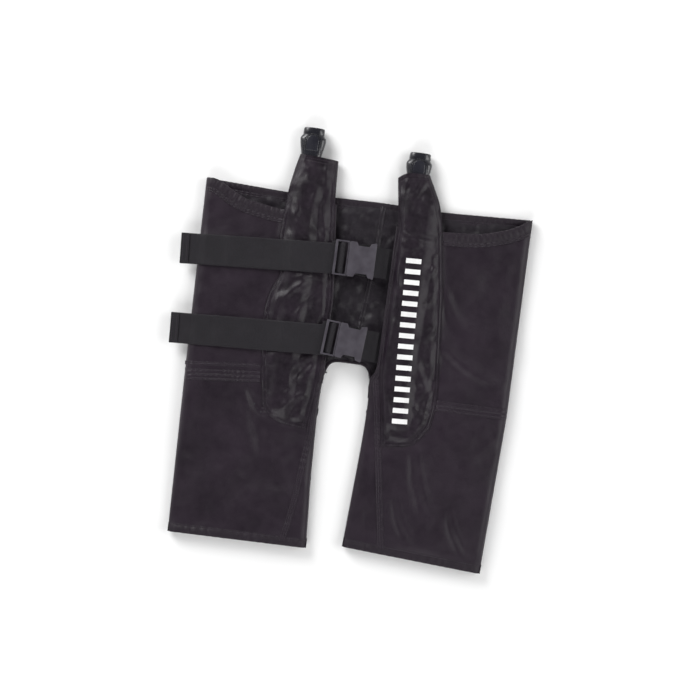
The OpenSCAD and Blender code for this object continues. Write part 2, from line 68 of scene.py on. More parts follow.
# ---------------------------------------------------------------- camera
camera = bpy.data.objects.new("camera", bpy.data.cameras.new("camera"))
bpy.context.collection.objects.link(camera)
camera.data.lens, camera.data.sensor_width = 85, 36
camera.location = (0.0138, -0.0088, 2.715)
camera.rotation_euler = (0, 0, math.radians(7.5))
camera.data.clip_end = 20
bpy.context.scene.camera = camera

# ---------------------------------------------------------------- plane geometry
LATTICE = np.random.RandomState(11).rand(256, 256) * 2 - 1


def noise(x, y, scale, seed=0):
    """Smooth seeded noise from -1 to 1."""
    x = np.asarray(x, float) / scale + 17.3 * seed
    y = np.asarray(y, float) / scale + 31.7 * seed
    xi, yi = np.floor(x).astype(int), np.floor(y).astype(int)
    fx, fy = x - xi, y - yi
    fx, fy = fx**3 * (fx * (fx * 6 - 15) + 10), fy**3 * (fy * (fy * 6 - 15) + 10)
    pick = lambda a, b: LATTICE[a % 256, b % 256]
    low = pick(xi, yi) * (1 - fx) + pick(xi + 1, yi) * fx
    high = pick(xi, yi + 1) * (1 - fx) + pick(xi + 1, yi + 1) * fx
    return low * (1 - fy) + high * fy


def ease(value, low, high):
    t = np.clip((np.asarray(value, float) - low) / (high - low), 0, 1)
    return t * t * (3 - 2 * t)


def line_dist(x, y, points):
    x, y = np.asarray(x, float), np.asarray(y, float)
    best = np.full(np.broadcast(x, y).shape, 1e9)
    for (ax, ay), (bx, by) in zip(points[:-1], points[1:]):
        dx, dy = bx - ax, by - ay
        t = np.clip(((x - ax) * dx + (y - ay) * dy) / (dx * dx + dy * dy), 0, 1)
        best = np.minimum(best, np.hypot(x - ax - t * dx, y - ay - t * dy))
    return best


def depth(x, y, outline):
    """Distance inside a closed outline, negative outside it."""
    x, y = np.asarray(x, float), np.asarray(y, float)
    ring = list(outline) + [outline[0]]
    crossings = np.zeros(np.broadcast(x, y).shape, int)
    for (ax, ay), (bx, by) in zip(ring[:-1], ring[1:]):
        if ay != by:
            crossings += ((ay > y) != (by > y)) & (x < (bx - ax) * (y - ay) / (by - ay) + ax)
    return np.where(crossings % 2 == 1, 1, -1) * line_dist(x, y, ring)


def rounded(points, rounds=3):
    """A line with its inner corners cut smooth."""
    points = [np.array(p, float) for p in points]
    for _ in range(rounds):
        cut = [points[0]]
        for a, b in zip(points[:-1], points[1:]):
            near = min(0.25, 9.0 / max(np.linalg.norm(b - a), 1e-6))
            cut += [a + (b - a) * near, b - (b - a) * near]
        points = cut + [points[-1]]
    return np.array(points)


class Curve:
    """A line that is read by its share of length."""

    def __init__(self, points, smooth=True):
        self.points = rounded(points) if smooth and len(points) > 2 else np.array(points, float)
        steps = np.linalg.norm(np.diff(self.points, axis=0), axis=1)
        self.length = steps.sum()
        self.share = np.concatenate([[0], np.cumsum(steps)]) / self.length

    def __call__(self, t):
        t = np.asarray(t, float)
        return np.stack([np.interp(t, self.share, self.points[:, i]) for i in range(2)], -1)

    def inward(self, t):
        """The direction to the left of the line."""
        d = self(np.clip(t + 0.004, 0, 1)) - self(np.clip(t - 0.004, 0, 1))
        d /= np.linalg.norm(d, axis=-1, keepdims=True)
        return np.stack([-d[..., 1], d[..., 0]], -1)


def patch(bottom, right, top, left, u, v):
    """A plan grid that fills four curves. Bottom and top run left to right, left and right run upwards."""
    uu, vv = u[None, :, None], v[:, None, None]
    corner = [[bottom(0.0), bottom(1.0)], [top(0.0), top(1.0)]]
    flat = (1 - uu) * (1 - vv) * corner[0][0] + uu * (1 - vv) * corner[0][1]
    flat = flat + (1 - uu) * vv * corner[1][0] + uu * vv * corner[1][1]
    return (1 - vv) * bottom(u)[None] + vv * top(u)[None] + (1 - uu) * left(v)[:, None] + uu * right(v)[:,
        None] - flat


def spread(length, step, fine_low=False, fine_high=False):
    """Shares of a length, close together near a rounded edge."""
    fine = np.array([0, 0.25, 0.9, 1.9, 3.3, 5.2, 7.6, 10.4])
    low = fine if fine_low else np.array([0.0, 1.2])
    high = length - (fine[::-1] if fine_high else np.array([1.2, 0.0]))
    middle = np.linspace(low[-1], high[0], max(3, int((high[0] - low[-1]) / step)))[1:-1]
    return np.concatenate([low, middle, high]) / length


# ---------------------------------------------------------------- materials
def material(name, build):
    mat = bpy.data.materials.new(name)
    mat.use_nodes = True
    tree = mat.node_tree
    tree.nodes.clear()
    out = tree.nodes.new("ShaderNodeOutputMaterial")
    shader = tree.nodes.new("ShaderNodeBsdfPrincipled")
    tree.links.new(shader.outputs[0], out.inputs[0])
    build(tree, shader)
    return mat


def node(tree, kind, links=(), **values):
    made = tree.nodes.new(kind)
    for key, value in values.items():
        if key.startswith("in_"):
            made.inputs[key[3:].replace("_", " ")].default_value = value
        else:
            setattr(made, key, value)
    for source, socket in links:
        tree.links.new(source, made.inputs[socket])
    return made


def mapped(tree, coords, scale, rotation=(0, 0, 0)):
    source = tree.nodes.new("ShaderNodeTexCoord").outputs[coords]
    return node(tree, "ShaderNodeMapping", [(source, 0)], in_Scale=scale, in_Rotation=rotation).outputs[0]


def ramp(tree, source, stops):
    made = node(tree, "ShaderNodeValToRGB", [(source, 0)])
    elements = made.color_ramp.elements
    while len(elements) < len(stops):
        elements.new(0.5)
    for element, (place, colour) in zip(elements, stops):
        element.position, element.color = place, (*colour, 1)
    return made.outputs[0]


def to_range(tree, source, low, high):
    return node(tree, "ShaderNodeMapRange", [(source, 0)], in_To_Min=low, in_To_Max=high).outputs[0]


def fabric(dark, light, rough, weave=900.0, coords="Object", ribs=None, sheen=0.07, weave_depth=0.00004,
        mottle_scale=28.0):
    """Woven coated nylon or webbing: two crossed threads, slubs, rubbed patches, a soft sheen, and broad
    light and dark colour patches that are partly random tone and partly painted sheen and shade of wrinkles.
    """

    def build(tree, shader):
        # Base colour in broad light and dark patches: random tone mixed with painted sheen and shade of
        # wrinkled cloth
        tone_and_sheen_mottle = node(tree, "ShaderNodeTexNoise", [(mapped(tree, coords, (1, 1, 1)), 0)], in_Scale=mottle_scale,
            in_Detail=5.0, in_Roughness=0.6)
        tree.links.new(ramp(tree, tone_and_sheen_mottle.outputs[0], [(0.3, dark), (0.7, light)]),
            shader.inputs["Base Color"])
        wear = node(tree, "ShaderNodeTexNoise", [(mapped(tree, coords, (1, 1, 1)), 0)], in_Scale=mottle_scale * 4,
            in_Detail=6.0)
        tree.links.new(to_range(tree, wear.outputs[0], rough - 0.1, rough + 0.1), shader.inputs["Roughness"])
        warp_scale, weft_scale = ribs or (weave, weave)
        warp = node(tree, "ShaderNodeTexWave", [(mapped(tree, coords, (warp_scale, 1, 1)), 0)],
            in_Scale=1.0, in_Distortion=0.6, in_Detail=1.0)
        weft = node(tree, "ShaderNodeTexWave", [(mapped(tree, coords, (1, weft_scale, 1)), 0)],
            bands_direction="Y", in_Scale=1.0, in_Distortion=0.6, in_Detail=1.0)
        both = node(tree, "ShaderNodeMath", [(warp.outputs["Fac"], 0), (weft.outputs["Fac"], 1)],
            operation="MULTIPLY")
        slub = node(tree, "ShaderNodeTexNoise", [(mapped(tree, coords, (1, 1, 1)), 0)], in_Scale=1500.0,
            in_Detail=3.0)
        height = node(tree, "ShaderNodeMath", [(both.outputs[0], 0), (slub.outputs[0], 1)], operation="ADD")
        bump = node(tree, "ShaderNodeBump", [(height.outputs[0], "Height")], in_Strength=0.5,
            in_Distance=weave_depth)
        ripple = node(tree, "ShaderNodeTexNoise", [(mapped(tree, coords, (1, 1, 1)), 0)], in_Scale=130.0,
            in_Detail=4.0)
        soft = node(tree, "ShaderNodeBump", [(ripple.outputs[0], "Height"), (bump.outputs[0], "Normal")],
            in_Strength=0.35, in_Distance=0.0006)
        tree.links.new(soft.outputs[0], shader.inputs["Normal"])
        shader.inputs["Sheen Weight"].default_value = sheen
        shader.inputs["Sheen Roughness"].default_value = 0.4
        shader.inputs["Sheen Tint"].default_value = (0.75, 0.66, 0.78, 1)
        shader.inputs["Specular IOR Level"].default_value = 0.3

    return build


def plastic(dark, light, rough, grain, grain_depth=0.00002, coat=0.0):
    """Moulded plastic: a fine spark-eroded grain, faint flow marks and rubbed spots."""

    def build(tree, shader):
        flow = node(tree, "ShaderNodeTexNoise", [(mapped(tree, "Object", (1, 1, 1)), 0)], in_Scale=60.0,
            in_Detail=5.0)
        tree.links.new(ramp(tree, flow.outputs[0], [(0.35, dark), (0.65, light)]),
            shader.inputs["Base Color"])
        rub = node(tree, "ShaderNodeTexNoise", [(mapped(tree, "Object", (1, 1, 1)), 0)], in_Scale=220.0,
            in_Detail=7.0, in_Roughness=0.65)
        tree.links.new(to_range(tree, rub.outputs[0], rough - 0.08, rough + 0.1), shader.inputs["Roughness"])
        dots = node(tree, "ShaderNodeTexNoise", [(mapped(tree, "Object", (1, 1, 1)), 0)], in_Scale=grain,
            in_Detail=3.0)
        bump = node(tree, "ShaderNodeBump", [(dots.outputs[0], "Height")], in_Strength=0.4,
            in_Distance=grain_depth)
        tree.links.new(bump.outputs[0], shader.inputs["Normal"])
        shader.inputs["Coat Weight"].default_value = coat
        shader.inputs["Coat Roughness"].default_value = 0.12

    return build


def tubing(tree, shader):
    haze = node(tree, "ShaderNodeTexNoise", [(mapped(tree, "Object", (1, 1, 1)), 0)], in_Scale=90.0,
        in_Detail=4.0)
    tree.links.new(ramp(tree, haze.outputs[0], [(0.3, (0.34, 0.34, 0.33)), (0.7, (0.46, 0.46, 0.44))]),
        shader.inputs["Base Color"])
    tree.links.new(to_range(tree, haze.outputs[0], 0.2, 0.34), shader.inputs["Roughness"])
    shader.inputs["Subsurface Weight"].default_value = 0.3
    shader.inputs["Subsurface Radius"].default_value = (0.003, 0.003, 0.003)


MAT = {
    # The shell's and pocket's wide dark-to-light colour ranges paint the sheen and shade of their wrinkles
    # over the cloth's own tone
    "shell": material("shell_nylon",
        fabric((0.0092, 0.0050, 0.0100), (0.0180, 0.0112, 0.0190), 0.46, mottle_scale=16.0)),
    "lining": material("lining_nylon",
        fabric((0.0090, 0.0066, 0.0100), (0.0150, 0.0115, 0.0165), 0.45, weave=1200.0, mottle_scale=60.0)),
    "pocket": material("pocket_nylon",
        fabric((0.0050, 0.0026, 0.0056), (0.0150, 0.0094, 0.0160), 0.43, mottle_scale=34.0)),
    "trim": material("trim_tape", fabric((0.0110, 0.0068, 0.0116), (0.0150, 0.0095, 0.0158), 0.5,
        weave=1500.0, weave_depth=0.00006)),
    "film": material("chamber_film",
        fabric((0.030, 0.030, 0.034), (0.044, 0.044, 0.050), 0.4, weave=2200.0, sheen=0.05)),
    "webbing": material("webbing", fabric((0.0056, 0.0044, 0.0068), (0.0092, 0.0074, 0.0108), 0.62,
        coords="UV", ribs=(2600.0, 1500.0), weave_depth=0.00012, sheen=0.05)),
    "thread": material("thread", fabric((0.026, 0.019, 0.028), (0.044, 0.034, 0.047), 0.5, weave=5000.0)),
    "mark": material("print_mark", fabric((0.72, 0.72, 0.72), (0.86, 0.86, 0.86), 0.5, weave=1200.0,
        sheen=0.0)),
    "plate": material("buckle_plastic", plastic((0.044, 0.039, 0.049), (0.066, 0.060, 0.073), 0.34, 2200.0)),
    "prong": material("prong_plastic", plastic((0.006, 0.005, 0.006), (0.011, 0.010, 0.012), 0.3, 2200.0)),
    "connector": material("connector_plastic",
        plastic((0.009, 0.009, 0.013), (0.016, 0.016, 0.021), 0.26, 1800.0, coat=0.25)),
    "pad": material("pad_plastic", plastic((0.014, 0.014, 0.020), (0.022, 0.022, 0.029), 0.24, 1800.0,
        coat=0.35)),
    "fitting": material("fitting_plastic",
        plastic((0.012, 0.012, 0.013), (0.020, 0.020, 0.022), 0.4, 2000.0)),
    "tube": material("air_tube", tubing),
}


# ---------------------------------------------------------------- mesh helpers
class Mesh:
    """Gathers closed pieces, in garment millimetres, into one object."""

    def __init__(self):
        self.verts, self.faces, self.uvs, self.count = [], [], [], 0

    def add(self, verts, faces, uv=None):
        verts = np.asarray(verts, float).reshape(-1, 3)
        self.verts.append(verts)
        self.uvs.append(np.zeros((len(verts), 2)) if uv is None else np.asarray(uv, float).reshape(-1, 2))
        self.faces.append(np.asarray(faces, int) + self.count)
        self.count += len(verts)
        return self

    def sheet(self, top, bottom, uv=None):
        """A closed sheet between two grids; top is the side that rows and columns turn anticlockwise on."""
        rows, cols = top.shape[:2]
        ids = np.arange(rows * cols).reshape(rows, cols)
        quads = np.stack([ids[:-1, :-1], ids[:-1, 1:], ids[1:, 1:], ids[1:, :-1]], -1).reshape(-1, 4)
        under = quads[:, ::-1] + rows * cols
        rim = np.concatenate([ids[0, :-1], ids[:-1, -1], ids[-1, :0:-1], ids[:0:-1, 0]])
        nxt = np.roll(rim, -1)
        wall = np.stack([rim, rim + rows * cols, nxt + rows * cols, nxt], -1)
        both = None if uv is None else np.concatenate([uv.reshape(-1, 2)] * 2)
        return self.add(np.concatenate([top.reshape(-1, 3), bottom.reshape(-1, 3)]),
            np.concatenate([quads, under, wall]), both)

    def sweep(self, rings):
        """A closed tube through rings of the same number of points, capped at both ends."""
        n, m = rings.shape[:2]
        ids = np.arange(n * m).reshape(n, m)
        nxt = np.roll(ids, -1, axis=1)
        walls = np.stack([ids[:-1], nxt[:-1], nxt[1:], ids[1:]], -1).reshape(-1, 4)
        self.add(rings, walls)
        base = self.count - n * m
        self.caps = getattr(self, "caps", []) + [list(ids[0, ::-1] + base), list(ids[-1] + base)]
        return self

    def build(self, name, mat, smooth=True):
        mesh = bpy.data.meshes.new(name)
        verts = (np.concatenate(self.verts) + SHIFT) / 1000
        faces = [f.tolist() for f in np.concatenate(self.faces)] + getattr(self, "caps", [])
        mesh.from_pydata(verts.tolist(), [], faces)
        uvs = np.concatenate(self.uvs)
        layer = mesh.uv_layers.new(name="UVMap")
        loops = np.zeros(len(mesh.loops), int)
        mesh.loops.foreach_get("vertex_index", loops)
        layer.data.foreach_set("uv", (uvs[loops] / 1000).astype(np.float32).ravel())
        mesh.polygons.foreach_set("use_smooth", [smooth] * len(mesh.polygons))
        mesh.materials.append(MAT[mat])
        obj = bpy.data.objects.new(name, mesh)
        bpy.context.collection.objects.link(obj)
        if smooth:
            mesh.set_sharp_from_angle(angle=math.radians(50))
        return obj


def normals(grid):
    """Unit normals of a grid, on the side that its rows and columns turn anticlockwise on."""
    du, dv = np.gradient(grid, axis=1), np.gradient(grid, axis=0)
    n = np.cross(du, dv)
    return n / np.maximum(np.linalg.norm(n, axis=-1, keepdims=True), 1e-9)


# ---------------------------------------------------------------- outlines
SIDE = {LEFT: [(-269, 285), (-263, -44), (-257, -295)], RIGHT: [(269, 285), (269, -38), (258, -298)]}
LEG_IN = {LEFT: [(-38, -24), (-39.5, -70), (-36, -181), (-29, -293)],
    RIGHT: [(40, -38), (40.5, -60), (38.5, -120), (29, -283)]}
INNER_LEG = {LEFT: [(-37, -10)] + LEG_IN[LEFT], RIGHT: [(38, -6)] + LEG_IN[RIGHT]}
SCOOP = {LEFT: [(-269, 285), (-250, 285), (-204, 258), (-137, 248), (-53, 268)],
         RIGHT: [(50, 246), (126, 246), (187, 250), (237, 265), (269, 285)]}
FREE_EDGE = {LEFT: [(-38, -24), (-37, -10), (-39, 84), (-38, 113), (-53, 268)],
             RIGHT: [(40, -38), (38, -6), (48, 6), (49, 40), (50, 246)]}
THIGH_SEAM = {LEFT: [(-263, -44), (-38, -24)], RIGHT: [(40, -38), (269, -38)]}
LEG_HEM = {LEFT: [(-257, -295), (-29, -293)], RIGHT: [(29, -283), (258, -298)]}
BACK_TOP = {LEFT: [(-269, 285), (-130, 279), (24, 282)], RIGHT: [(24, 282), (120, 279), (269, 285)]}
BACK_SEAM = [(3, 15), (14, 100), (23, 200), (24, 282)]
BACK_CROTCH = {LEFT: [(-38, -24), (-37, -10), (-34, 2), (-30, 9), (-24, 13.5), (-15, 15), (3, 15)],
               RIGHT: [(3, 15), (20, 15), (28, 13), (34, 7), (37, 0), (38, -6), (40, -38)]}
POCKET = {
    LEFT: [(-133, 285), (-139, 199), (-124, 150), (-142, 116), (-148, 79), (-138, -23), (-130, -71),
        (-119, -86),
           (-96, -98), (-54, -102), (-44, -20), (-42, 84), (-41, 113), (-56, 285)],
    RIGHT: [(47, 285), (52, 246), (52, -6), (60, -38), (70, -113), (122, -108), (146, -72), (152, -36),
        (150, 6),
            (140, 137), (125, 246), (117, 285)],
}
INSEAM = {LEFT: [(-45, -30), (-48, -120), (-59, -228), (-70, -289)],
    RIGHT: [(48, -6), (56, -50), (65, -109), (84, -228), (92, -279)]}
TUBE_X = {LEFT: -104.0, RIGHT: 73.0}
CONNECTOR_TOP = {LEFT: 388.0, RIGHT: 370.0}
CONNECTOR_Z = 12.3

# Folds pressed into the cloth: ends, width, height and the side where the cloth dips beside it
FOLDS = {
    LEFT: [(-163, -58, -134, -160, 11, 3.4, 1), (-158, -47, -121, -94, 5, -4.0, -1),
        (-222, -268, -135, -240, 24, -2.4, 0),
           (-150, -150, -185, -262, 16, 2.0, 1), (-70, -120, -96, -205, 12, -2.2, 0),
               (-240, -60, -232, -270, 16, 1.6, 0),
           (-252, 150, -236, 80, 10, 1.2, 0), (-180, 232, -215, 120, 22, 1.4, 0),
               (-70, -98, -112, -62, 7, 2.4, 1),
           (-128, -110, -112, -180, 8, -2.0, 0), (-200, -70, -180, -150, 20, -1.6, 0),
               (-215, 20, -170, 0, 14, 1.4, 0)],
    RIGHT: [(138, 157, 186, 86, 9, 4.2, -1), (144, 67, 250, 10, 10, 4.6, -1), (150, 60, 172, 30, 12, 2.0, 0),
            (121, -114, 153, -217, 7, -4.2, 1), (101, -193, 133, -265, 5.5, -3.6, 1),
                (192, -208, 222, -274, 5.5, -3.6, 1),
            (228, -116, 262, -101, 9, -2.6, 1), (238, 215, 248, 30, 14, 2.6, 0),
                (160, -75, 215, -100, 16, 1.8, 0),
            (80, -130, 98, -250, 10, 1.6, 0), (222, 200, 180, 238, 11, 2.2, 0),
                (60, -210, 72, -272, 7, -1.8, 0),
            (200, 190, 215, 90, 26, -1.6, 0), (175, -130, 235, -190, 22, 1.6, 0)],
}
POCKET_FOLDS = {
    LEFT: [(-132, 256, -80, 204, 9, 3.0, -1), (-116, 272, -70, 214, 5, -2.2, 0),
        (-76, 266, -62, 214, 5, 1.8, 0), (-80, 138, -132, 92, 7, 2.6, 1),
           (-66, 124, -104, 84, 5, -2.0, 0), (-60, 146, -112, 140, 4, 1.6, 0),
               (-58, 20, -98, -18, 7, 2.6, 1), (-72, -10, -118, -52, 8, -2.2, 0),
           (-62, -44, -100, -76, 6, 2.0, 1), (-124, 20, -134, -40, 6, 1.6, 0),
               (-50, 60, -56, 120, 4, 1.4, 0), (-108, 240, -96, 300, 5, -1.6, 0)],
    RIGHT: [(60, 236, 112, 228, 4, 1.9, 1), (62, 216, 104, 210, 4, -1.6, 0),
        (122, 188, 110, 160, 7, 2.4, 0), (126, 142, 112, 118, 7, 2.2, 0),
            (60, 190, 66, 140, 4, 1.8, 0), (64, 110, 58, 70, 4, -1.4, 0), (134, 92, 114, 62, 7, 2.2, 1),
                (112, 30, 140, -26, 7, 2.6, 1),
            (138, -10, 122, -64, 6, -2.4, 0), (114, -40, 144, -62, 5, 2.2, 1),
                (64, -20, 82, -74, 5, 1.6, 0), (62, 60, 80, 20, 5, 1.4, 0),
            (128, 214, 114, 198, 5, 1.8, 0), (110, -96, 136, -70, 5, 1.6, 0)],
}
BACK_FOLDS = [(-34, 180, 6, 130, 6, 3.2, 1), (12, 156, 44, 138, 6, 2.4, 1), (-24, 118, 2, 72, 7, 2.4, 1),
    (20, 124, 38, 74, 7, 2.4, -1),
              (-20, 262, 30, 246, 6, 1.8, 1), (-50, 236, -10, 222, 6, 1.8, 0),
                  (-190, 268, -120, 262, 5, 1.4, 0), (140, 262, 230, 272, 5, 1.4, 0)]


FOLD_SHARE = 0.6  # how tall the listed folds stand in this lie of the cloth


def folded(x, y, folds):
    z = np.zeros(np.broadcast(x, y).shape)
    for ax, ay, bx, by, width, drawn, dip in folds:
        height = FOLD_SHARE * drawn
        dx, dy = bx - ax, by - ay
        size = math.hypot(dx, dy)
        t = ((x - ax) * dx + (y - ay) * dy) / size**2
        bow = size * 0.05 * np.sin(np.clip(t, 0, 1) * math.pi)
        off = ((y - ay) * dx - (x - ax) * dy) / size + bow + 1.6 * noise(x, y, 22, 5)
        reach = ease(t, -0.12, 0.25) * (1 - ease(t, 0.7, 1.15))
        narrow = width * (0.75 + 0.5 * np.clip(t, 0, 1))
        z = z + height * reach * np.exp(-((off / narrow) ** 2))
        if dip:
            z = z - 0.55 * height * reach * np.exp(-(((off - dip * 1.7 * narrow) / narrow) ** 2))
    return z


def edge_drop(x, y, edge, radius=12.5):
    q = np.clip(1 - line_dist(x, y, edge) / radius, 0, 1)
    return 1 - np.sqrt(np.maximum(1 - q * q, 0))


def drop(s, x, y):
    """How far the wall has turned down to the side folds, from 0 to 1."""
    inner = edge_drop(x, y, INNER_LEG[s]) * (1 - ease(y, -34, 8))
    return np.minimum(1, edge_drop(x, y, SIDE[s]) + inner)


def seam_pucker(x, y, line, reach=9.0, pitch=8.0, height=0.45, seed=1):
    """Short ripples that run into a stitched line."""
    d = line_dist(x, y, line)
    (ax, ay), (bx, by) = line[0], line[-1]
    size = math.hypot(bx - ax, by - ay)
    along = ((x - ax) * (bx - ax) + (y - ay) * (by - ay)) / size
    wave = np.sin(along / pitch * 2 * math.pi + 3.2 * noise(along, d * 0.4, 19,
        seed)) * (0.6 + 0.5 * noise(along, 0 * d, 30, seed + 1))
    return height * wave * np.exp(-((d / reach) ** 2))


def front_z(s, x, y):
    """Outer surface of the front wall."""
    x, y = np.asarray(x, float), np.asarray(y, float)
    turned = drop(s, x, y)
    hem = 1 - 0.7 * (1 - ease(line_dist(x, y, LEG_HEM[s]), 2, 24))
    waves = 2.6 * noise(x, y, 95, 2) + 1.5 * noise(x, y, 44, 3) + 0.4 * noise(x, y, 18, 4)
    waves = (waves + folded(x, y, FOLDS[s])) * hem
    under_pocket = ease(depth(x, y, POCKET[s]), -6, 3)
    waves = waves * (1 - 0.85 * under_pocket) - 0.4 * under_pocket
    waves = waves + seam_pucker(x, y, THIGH_SEAM[s], 8, 9, 0.5, 3) + seam_pucker(x, y, SCOOP[s], 12, 9,
        0.55, 5)
    waves = waves + seam_pucker(x, y, LEG_HEM[s], 9, 13, 0.45, 7) + seam_pucker(x, y, INSEAM[s], 9, 11,
        0.45, 9)
    if s == LEFT:  # the twist of cloth at the pocket's lower corner
        r, turn = np.hypot(x + 126, y + 72), np.arctan2(y + 72, x + 126)
        waves = waves + 2.0 * np.sin(r / 2.3 + turn) * np.exp(-((r / 11) ** 2))
    return FRONT_Z - MID_Z * turned + np.clip(waves, -4.2, 4.4) * (1 - turned)


def back_z(s, x, y):
    """Outer surface of the back wall, which lies on the table."""
    x, y = np.asarray(x, float), np.asarray(y, float)
    return MID_Z * drop(s, x, y) + 0.35 * (1 + noise(x, y, 34, 21)) * (1 - drop(s, x, y))


PATH_LEFT = {LEFT: [(-130, -71), (-138, -23), (-148, 79), (-142, 116), (-126, 150), (-139, 199),
    (-133, 285), (-128, 318), (-122, 343)],
             RIGHT: [(70, -113), (60, -38), (52, -6), (52, 246), (47, 285), (41.5, 325)]}
PATH_RIGHT = {LEFT: [(-54, -102), (-44, -20), (-42, 84), (-41, 113), (-56, 285), (-58.5, 339)],
              RIGHT: [(146, -72), (152, -36), (150, 6), (140, 137), (125, 246), (117, 285), (108, 307),
                  (93, 336)]}
PATH_BOTTOM = {LEFT: [(-130, -71), (-119, -86), (-96, -98), (-54, -102)],
    RIGHT: [(70, -113), (122, -108), (146, -72)]}
PATH_TOP = {LEFT: [(-122, 343), (-72, 340), (-58.5, 339)], RIGHT: [(41.5, 325), (55, 335), (93, 336)]}
COVER = {s: [Curve(lines[s]) for lines in (PATH_LEFT, PATH_RIGHT, PATH_BOTTOM)] for s in (LEFT, RIGHT)}
COVER_RING = {s: np.concatenate([COVER[s][0].points[::-1], COVER[s][2].points[1:-1], COVER[s][1].points,
                                 [(COVER[s][1].points[-1][0], 600.0),
                                     (COVER[s][0].points[-1][0], 600.0)]]).tolist() for s in (LEFT, RIGHT)}
UNDER_FROM = {LEFT: 270.0, RIGHT: 249.0}
CROWN = {LEFT: (-102.0, 8.0, 34.0), RIGHT: (82.0, 14.0, 42.0)}


def inner_rise(s, x, y):
    """How far the back's lining stands up in soft folds."""
    x, y = np.asarray(x, float), np.asarray(y, float)
    loose = (1 - drop(s, x, y)) * ease(line_dist(x, y, BACK_TOP[s]), 2,
        22) * ease(line_dist(x, y, BACK_CROTCH[s]), 0, 12)
    return np.clip(1.7 * noise(x, y, 27, 30) + 1.1 * noise(x, y, 12, 31) + 0.4 * noise(x, y, 6,
        32) + 1.6 + folded(x, y, BACK_FOLDS), 0, 7) * loose


def pocket_z(s, x, y):
    """Outer surface of a hose pocket, stitched flat at its border and crowned over its tubes."""
    x, y = np.asarray(x, float), np.asarray(y, float)
    d = depth(x, y, COVER_RING[s])
    border = 1.5 * ease(d, -0.4, 0.5) - 0.8 * np.exp(-(((d - 2.6) / 0.8) ** 2)) - 0.8 * np.exp(-(((d - 7.4)
        / 0.9) ** 2))
    centre, flat_part, slope_end = CROWN[s]
    tubes = (1 - ease(np.abs(x - centre), flat_part, slope_end)) * ease(y, -96, -70)
    rest = (0.36 + 0.16 * noise(x, y, 30, 8)) * ease(d, 7.5, 17)
    crown = (POCKET_H - 1.3) * np.maximum(tubes * ease(d, 2.6, 8.6), rest)
    waves = 1.3 * noise(x, y, 24, 9) + 0.75 * noise(x, y, 11, 10) + 1.5 * folded(x, y, POCKET_FOLDS[s])
    waves = waves * ease(d, 4, 12)
    near_tubes = 1 - ease(np.abs(x - TUBE_X[s]), 12, 18)
    waves = np.where(waves < -0.35, -0.35 + (waves + 0.35) * (1 - 0.85 * near_tubes), waves)
    rim = seam_pucker(x, y, COVER_RING[s][4:-8], 7, 10, 0.35, 12) + 0.5 * noise(x, y, 7,
        13) * np.exp(-(((d - 5) / 4) ** 2))
    return FRONT_Z - 0.35 + np.maximum(border + crown + waves + rim, 0.5)


def top_z(s, x, y):
    """The highest cloth at a point of the front, pocket or bare wall."""
    return np.where(depth(x, y, COVER_RING[s]) > 0, pocket_z(s, x, y), front_z(s, x, y))


SLEEVE_FOLDS = {LEFT: [(-118, 336, -92, 296, 7, 2.2, 1), (-76, 334, -70, 292, 4, 1.8, 0),
    (-108, 304, -74, 286, 6, 1.6, 1), (-128, 300, -112, 318, 4, 1.4, 0)],
                RIGHT: [(94, 320, 78, 286, 5, -2.4, -1), (58, 326, 54, 290, 4, 1.8, 0),
                    (102, 302, 84, 294, 5, 1.8, 0), (70, 324, 66, 296, 6, 1.6, 0)]}


def sleeve_shape(s, x, y):
    """Middle height, half-height share across the width, and crest of the sleeve at a point."""
    left_line, right_line, _ = COVER[s]
    low = np.interp(y, left_line.points[left_line.points[:, 1] > 205][:, 1],
        left_line.points[left_line.points[:, 1] > 205][:, 0])
    high = np.interp(y, right_line.points[right_line.points[:, 1] > 205][:, 1],
        right_line.points[right_line.points[:, 1] > 205][:, 0])
    share = np.clip((2 * x - low - high) / (high - low), -1, 1)
    dome = np.maximum(1 - np.abs(share) ** 3.0, 0) ** (1 / 2.4)
    middle = FRONT_Z + 0.6 + (CONNECTOR_Z - FRONT_Z - 0.6) * ease(y, 283, 312)
    crest = FRONT_Z + POCKET_H + (24.9 - FRONT_Z - POCKET_H) * ease(y, 284, 312)
    return middle, dome, crest


def cover_z(s, x, y):
    """Outer surface of a pocket and the sleeve that it runs on into."""
    x, y = np.asarray(x, float), np.asarray(y, float)
    into = ease(y, 278, 306)
    middle, dome, crest = sleeve_shape(s, x, y)
    d = depth(x, y, COVER_RING[s])
    loft = middle + (crest - middle) * dome + (folded(x, y, SLEEVE_FOLDS[s]) + 0.9 * noise(x, y, 13,
        15) + 0.5 * noise(x, y, 7, 16)) * dome**2 * ease(y, 284, 296)
    loft -= 0.6 * np.exp(-(((d - 2.6) / 0.8) ** 2)) + 0.6 * np.exp(-(((d - 7.4) / 0.9) ** 2))
    return pocket_z(s, x, y) * (1 - into) + loft * into


# ---------------------------------------------------------------- wall panels
def grid_of(s, part, step=3.0):
    """Plan grid of a panel of one side."""
    outer_first = s == LEFT
    if part == "front_hip":
        edges = [Curve(THIGH_SEAM[s]), Curve(FREE_EDGE[s]), Curve(SCOOP[s]), Curve(SIDE[s][1::-1])]
    elif part == "back_hip":
        inner = Curve(BACK_SEAM)
        line = [THIGH_SEAM[s][0]] + BACK_CROTCH[s] if s == LEFT else BACK_CROTCH[s] + [THIGH_SEAM[s][1]]
        edges = [Curve(line, smooth=False), inner, Curve(BACK_TOP[s]), Curve(SIDE[s][1::-1])]
    else:
        edges = [Curve(LEG_HEM[s]), Curve(LEG_IN[s][::-1]), Curve(THIGH_SEAM[s]), Curve(SIDE[s][:0:-1])]
    bottom, inner, top, outer = edges
    wide = (bottom.length + top.length) / 2
    both_sides = part.endswith("thigh")
    u = spread(wide, step, fine_low=outer_first or both_sides, fine_high=(not outer_first) or both_sides)
    v = spread((inner.length + outer.length) / 2, step)
    left, right = (outer, inner) if outer_first else (inner, outer)
    return patch(bottom, right, top, left, u, v)


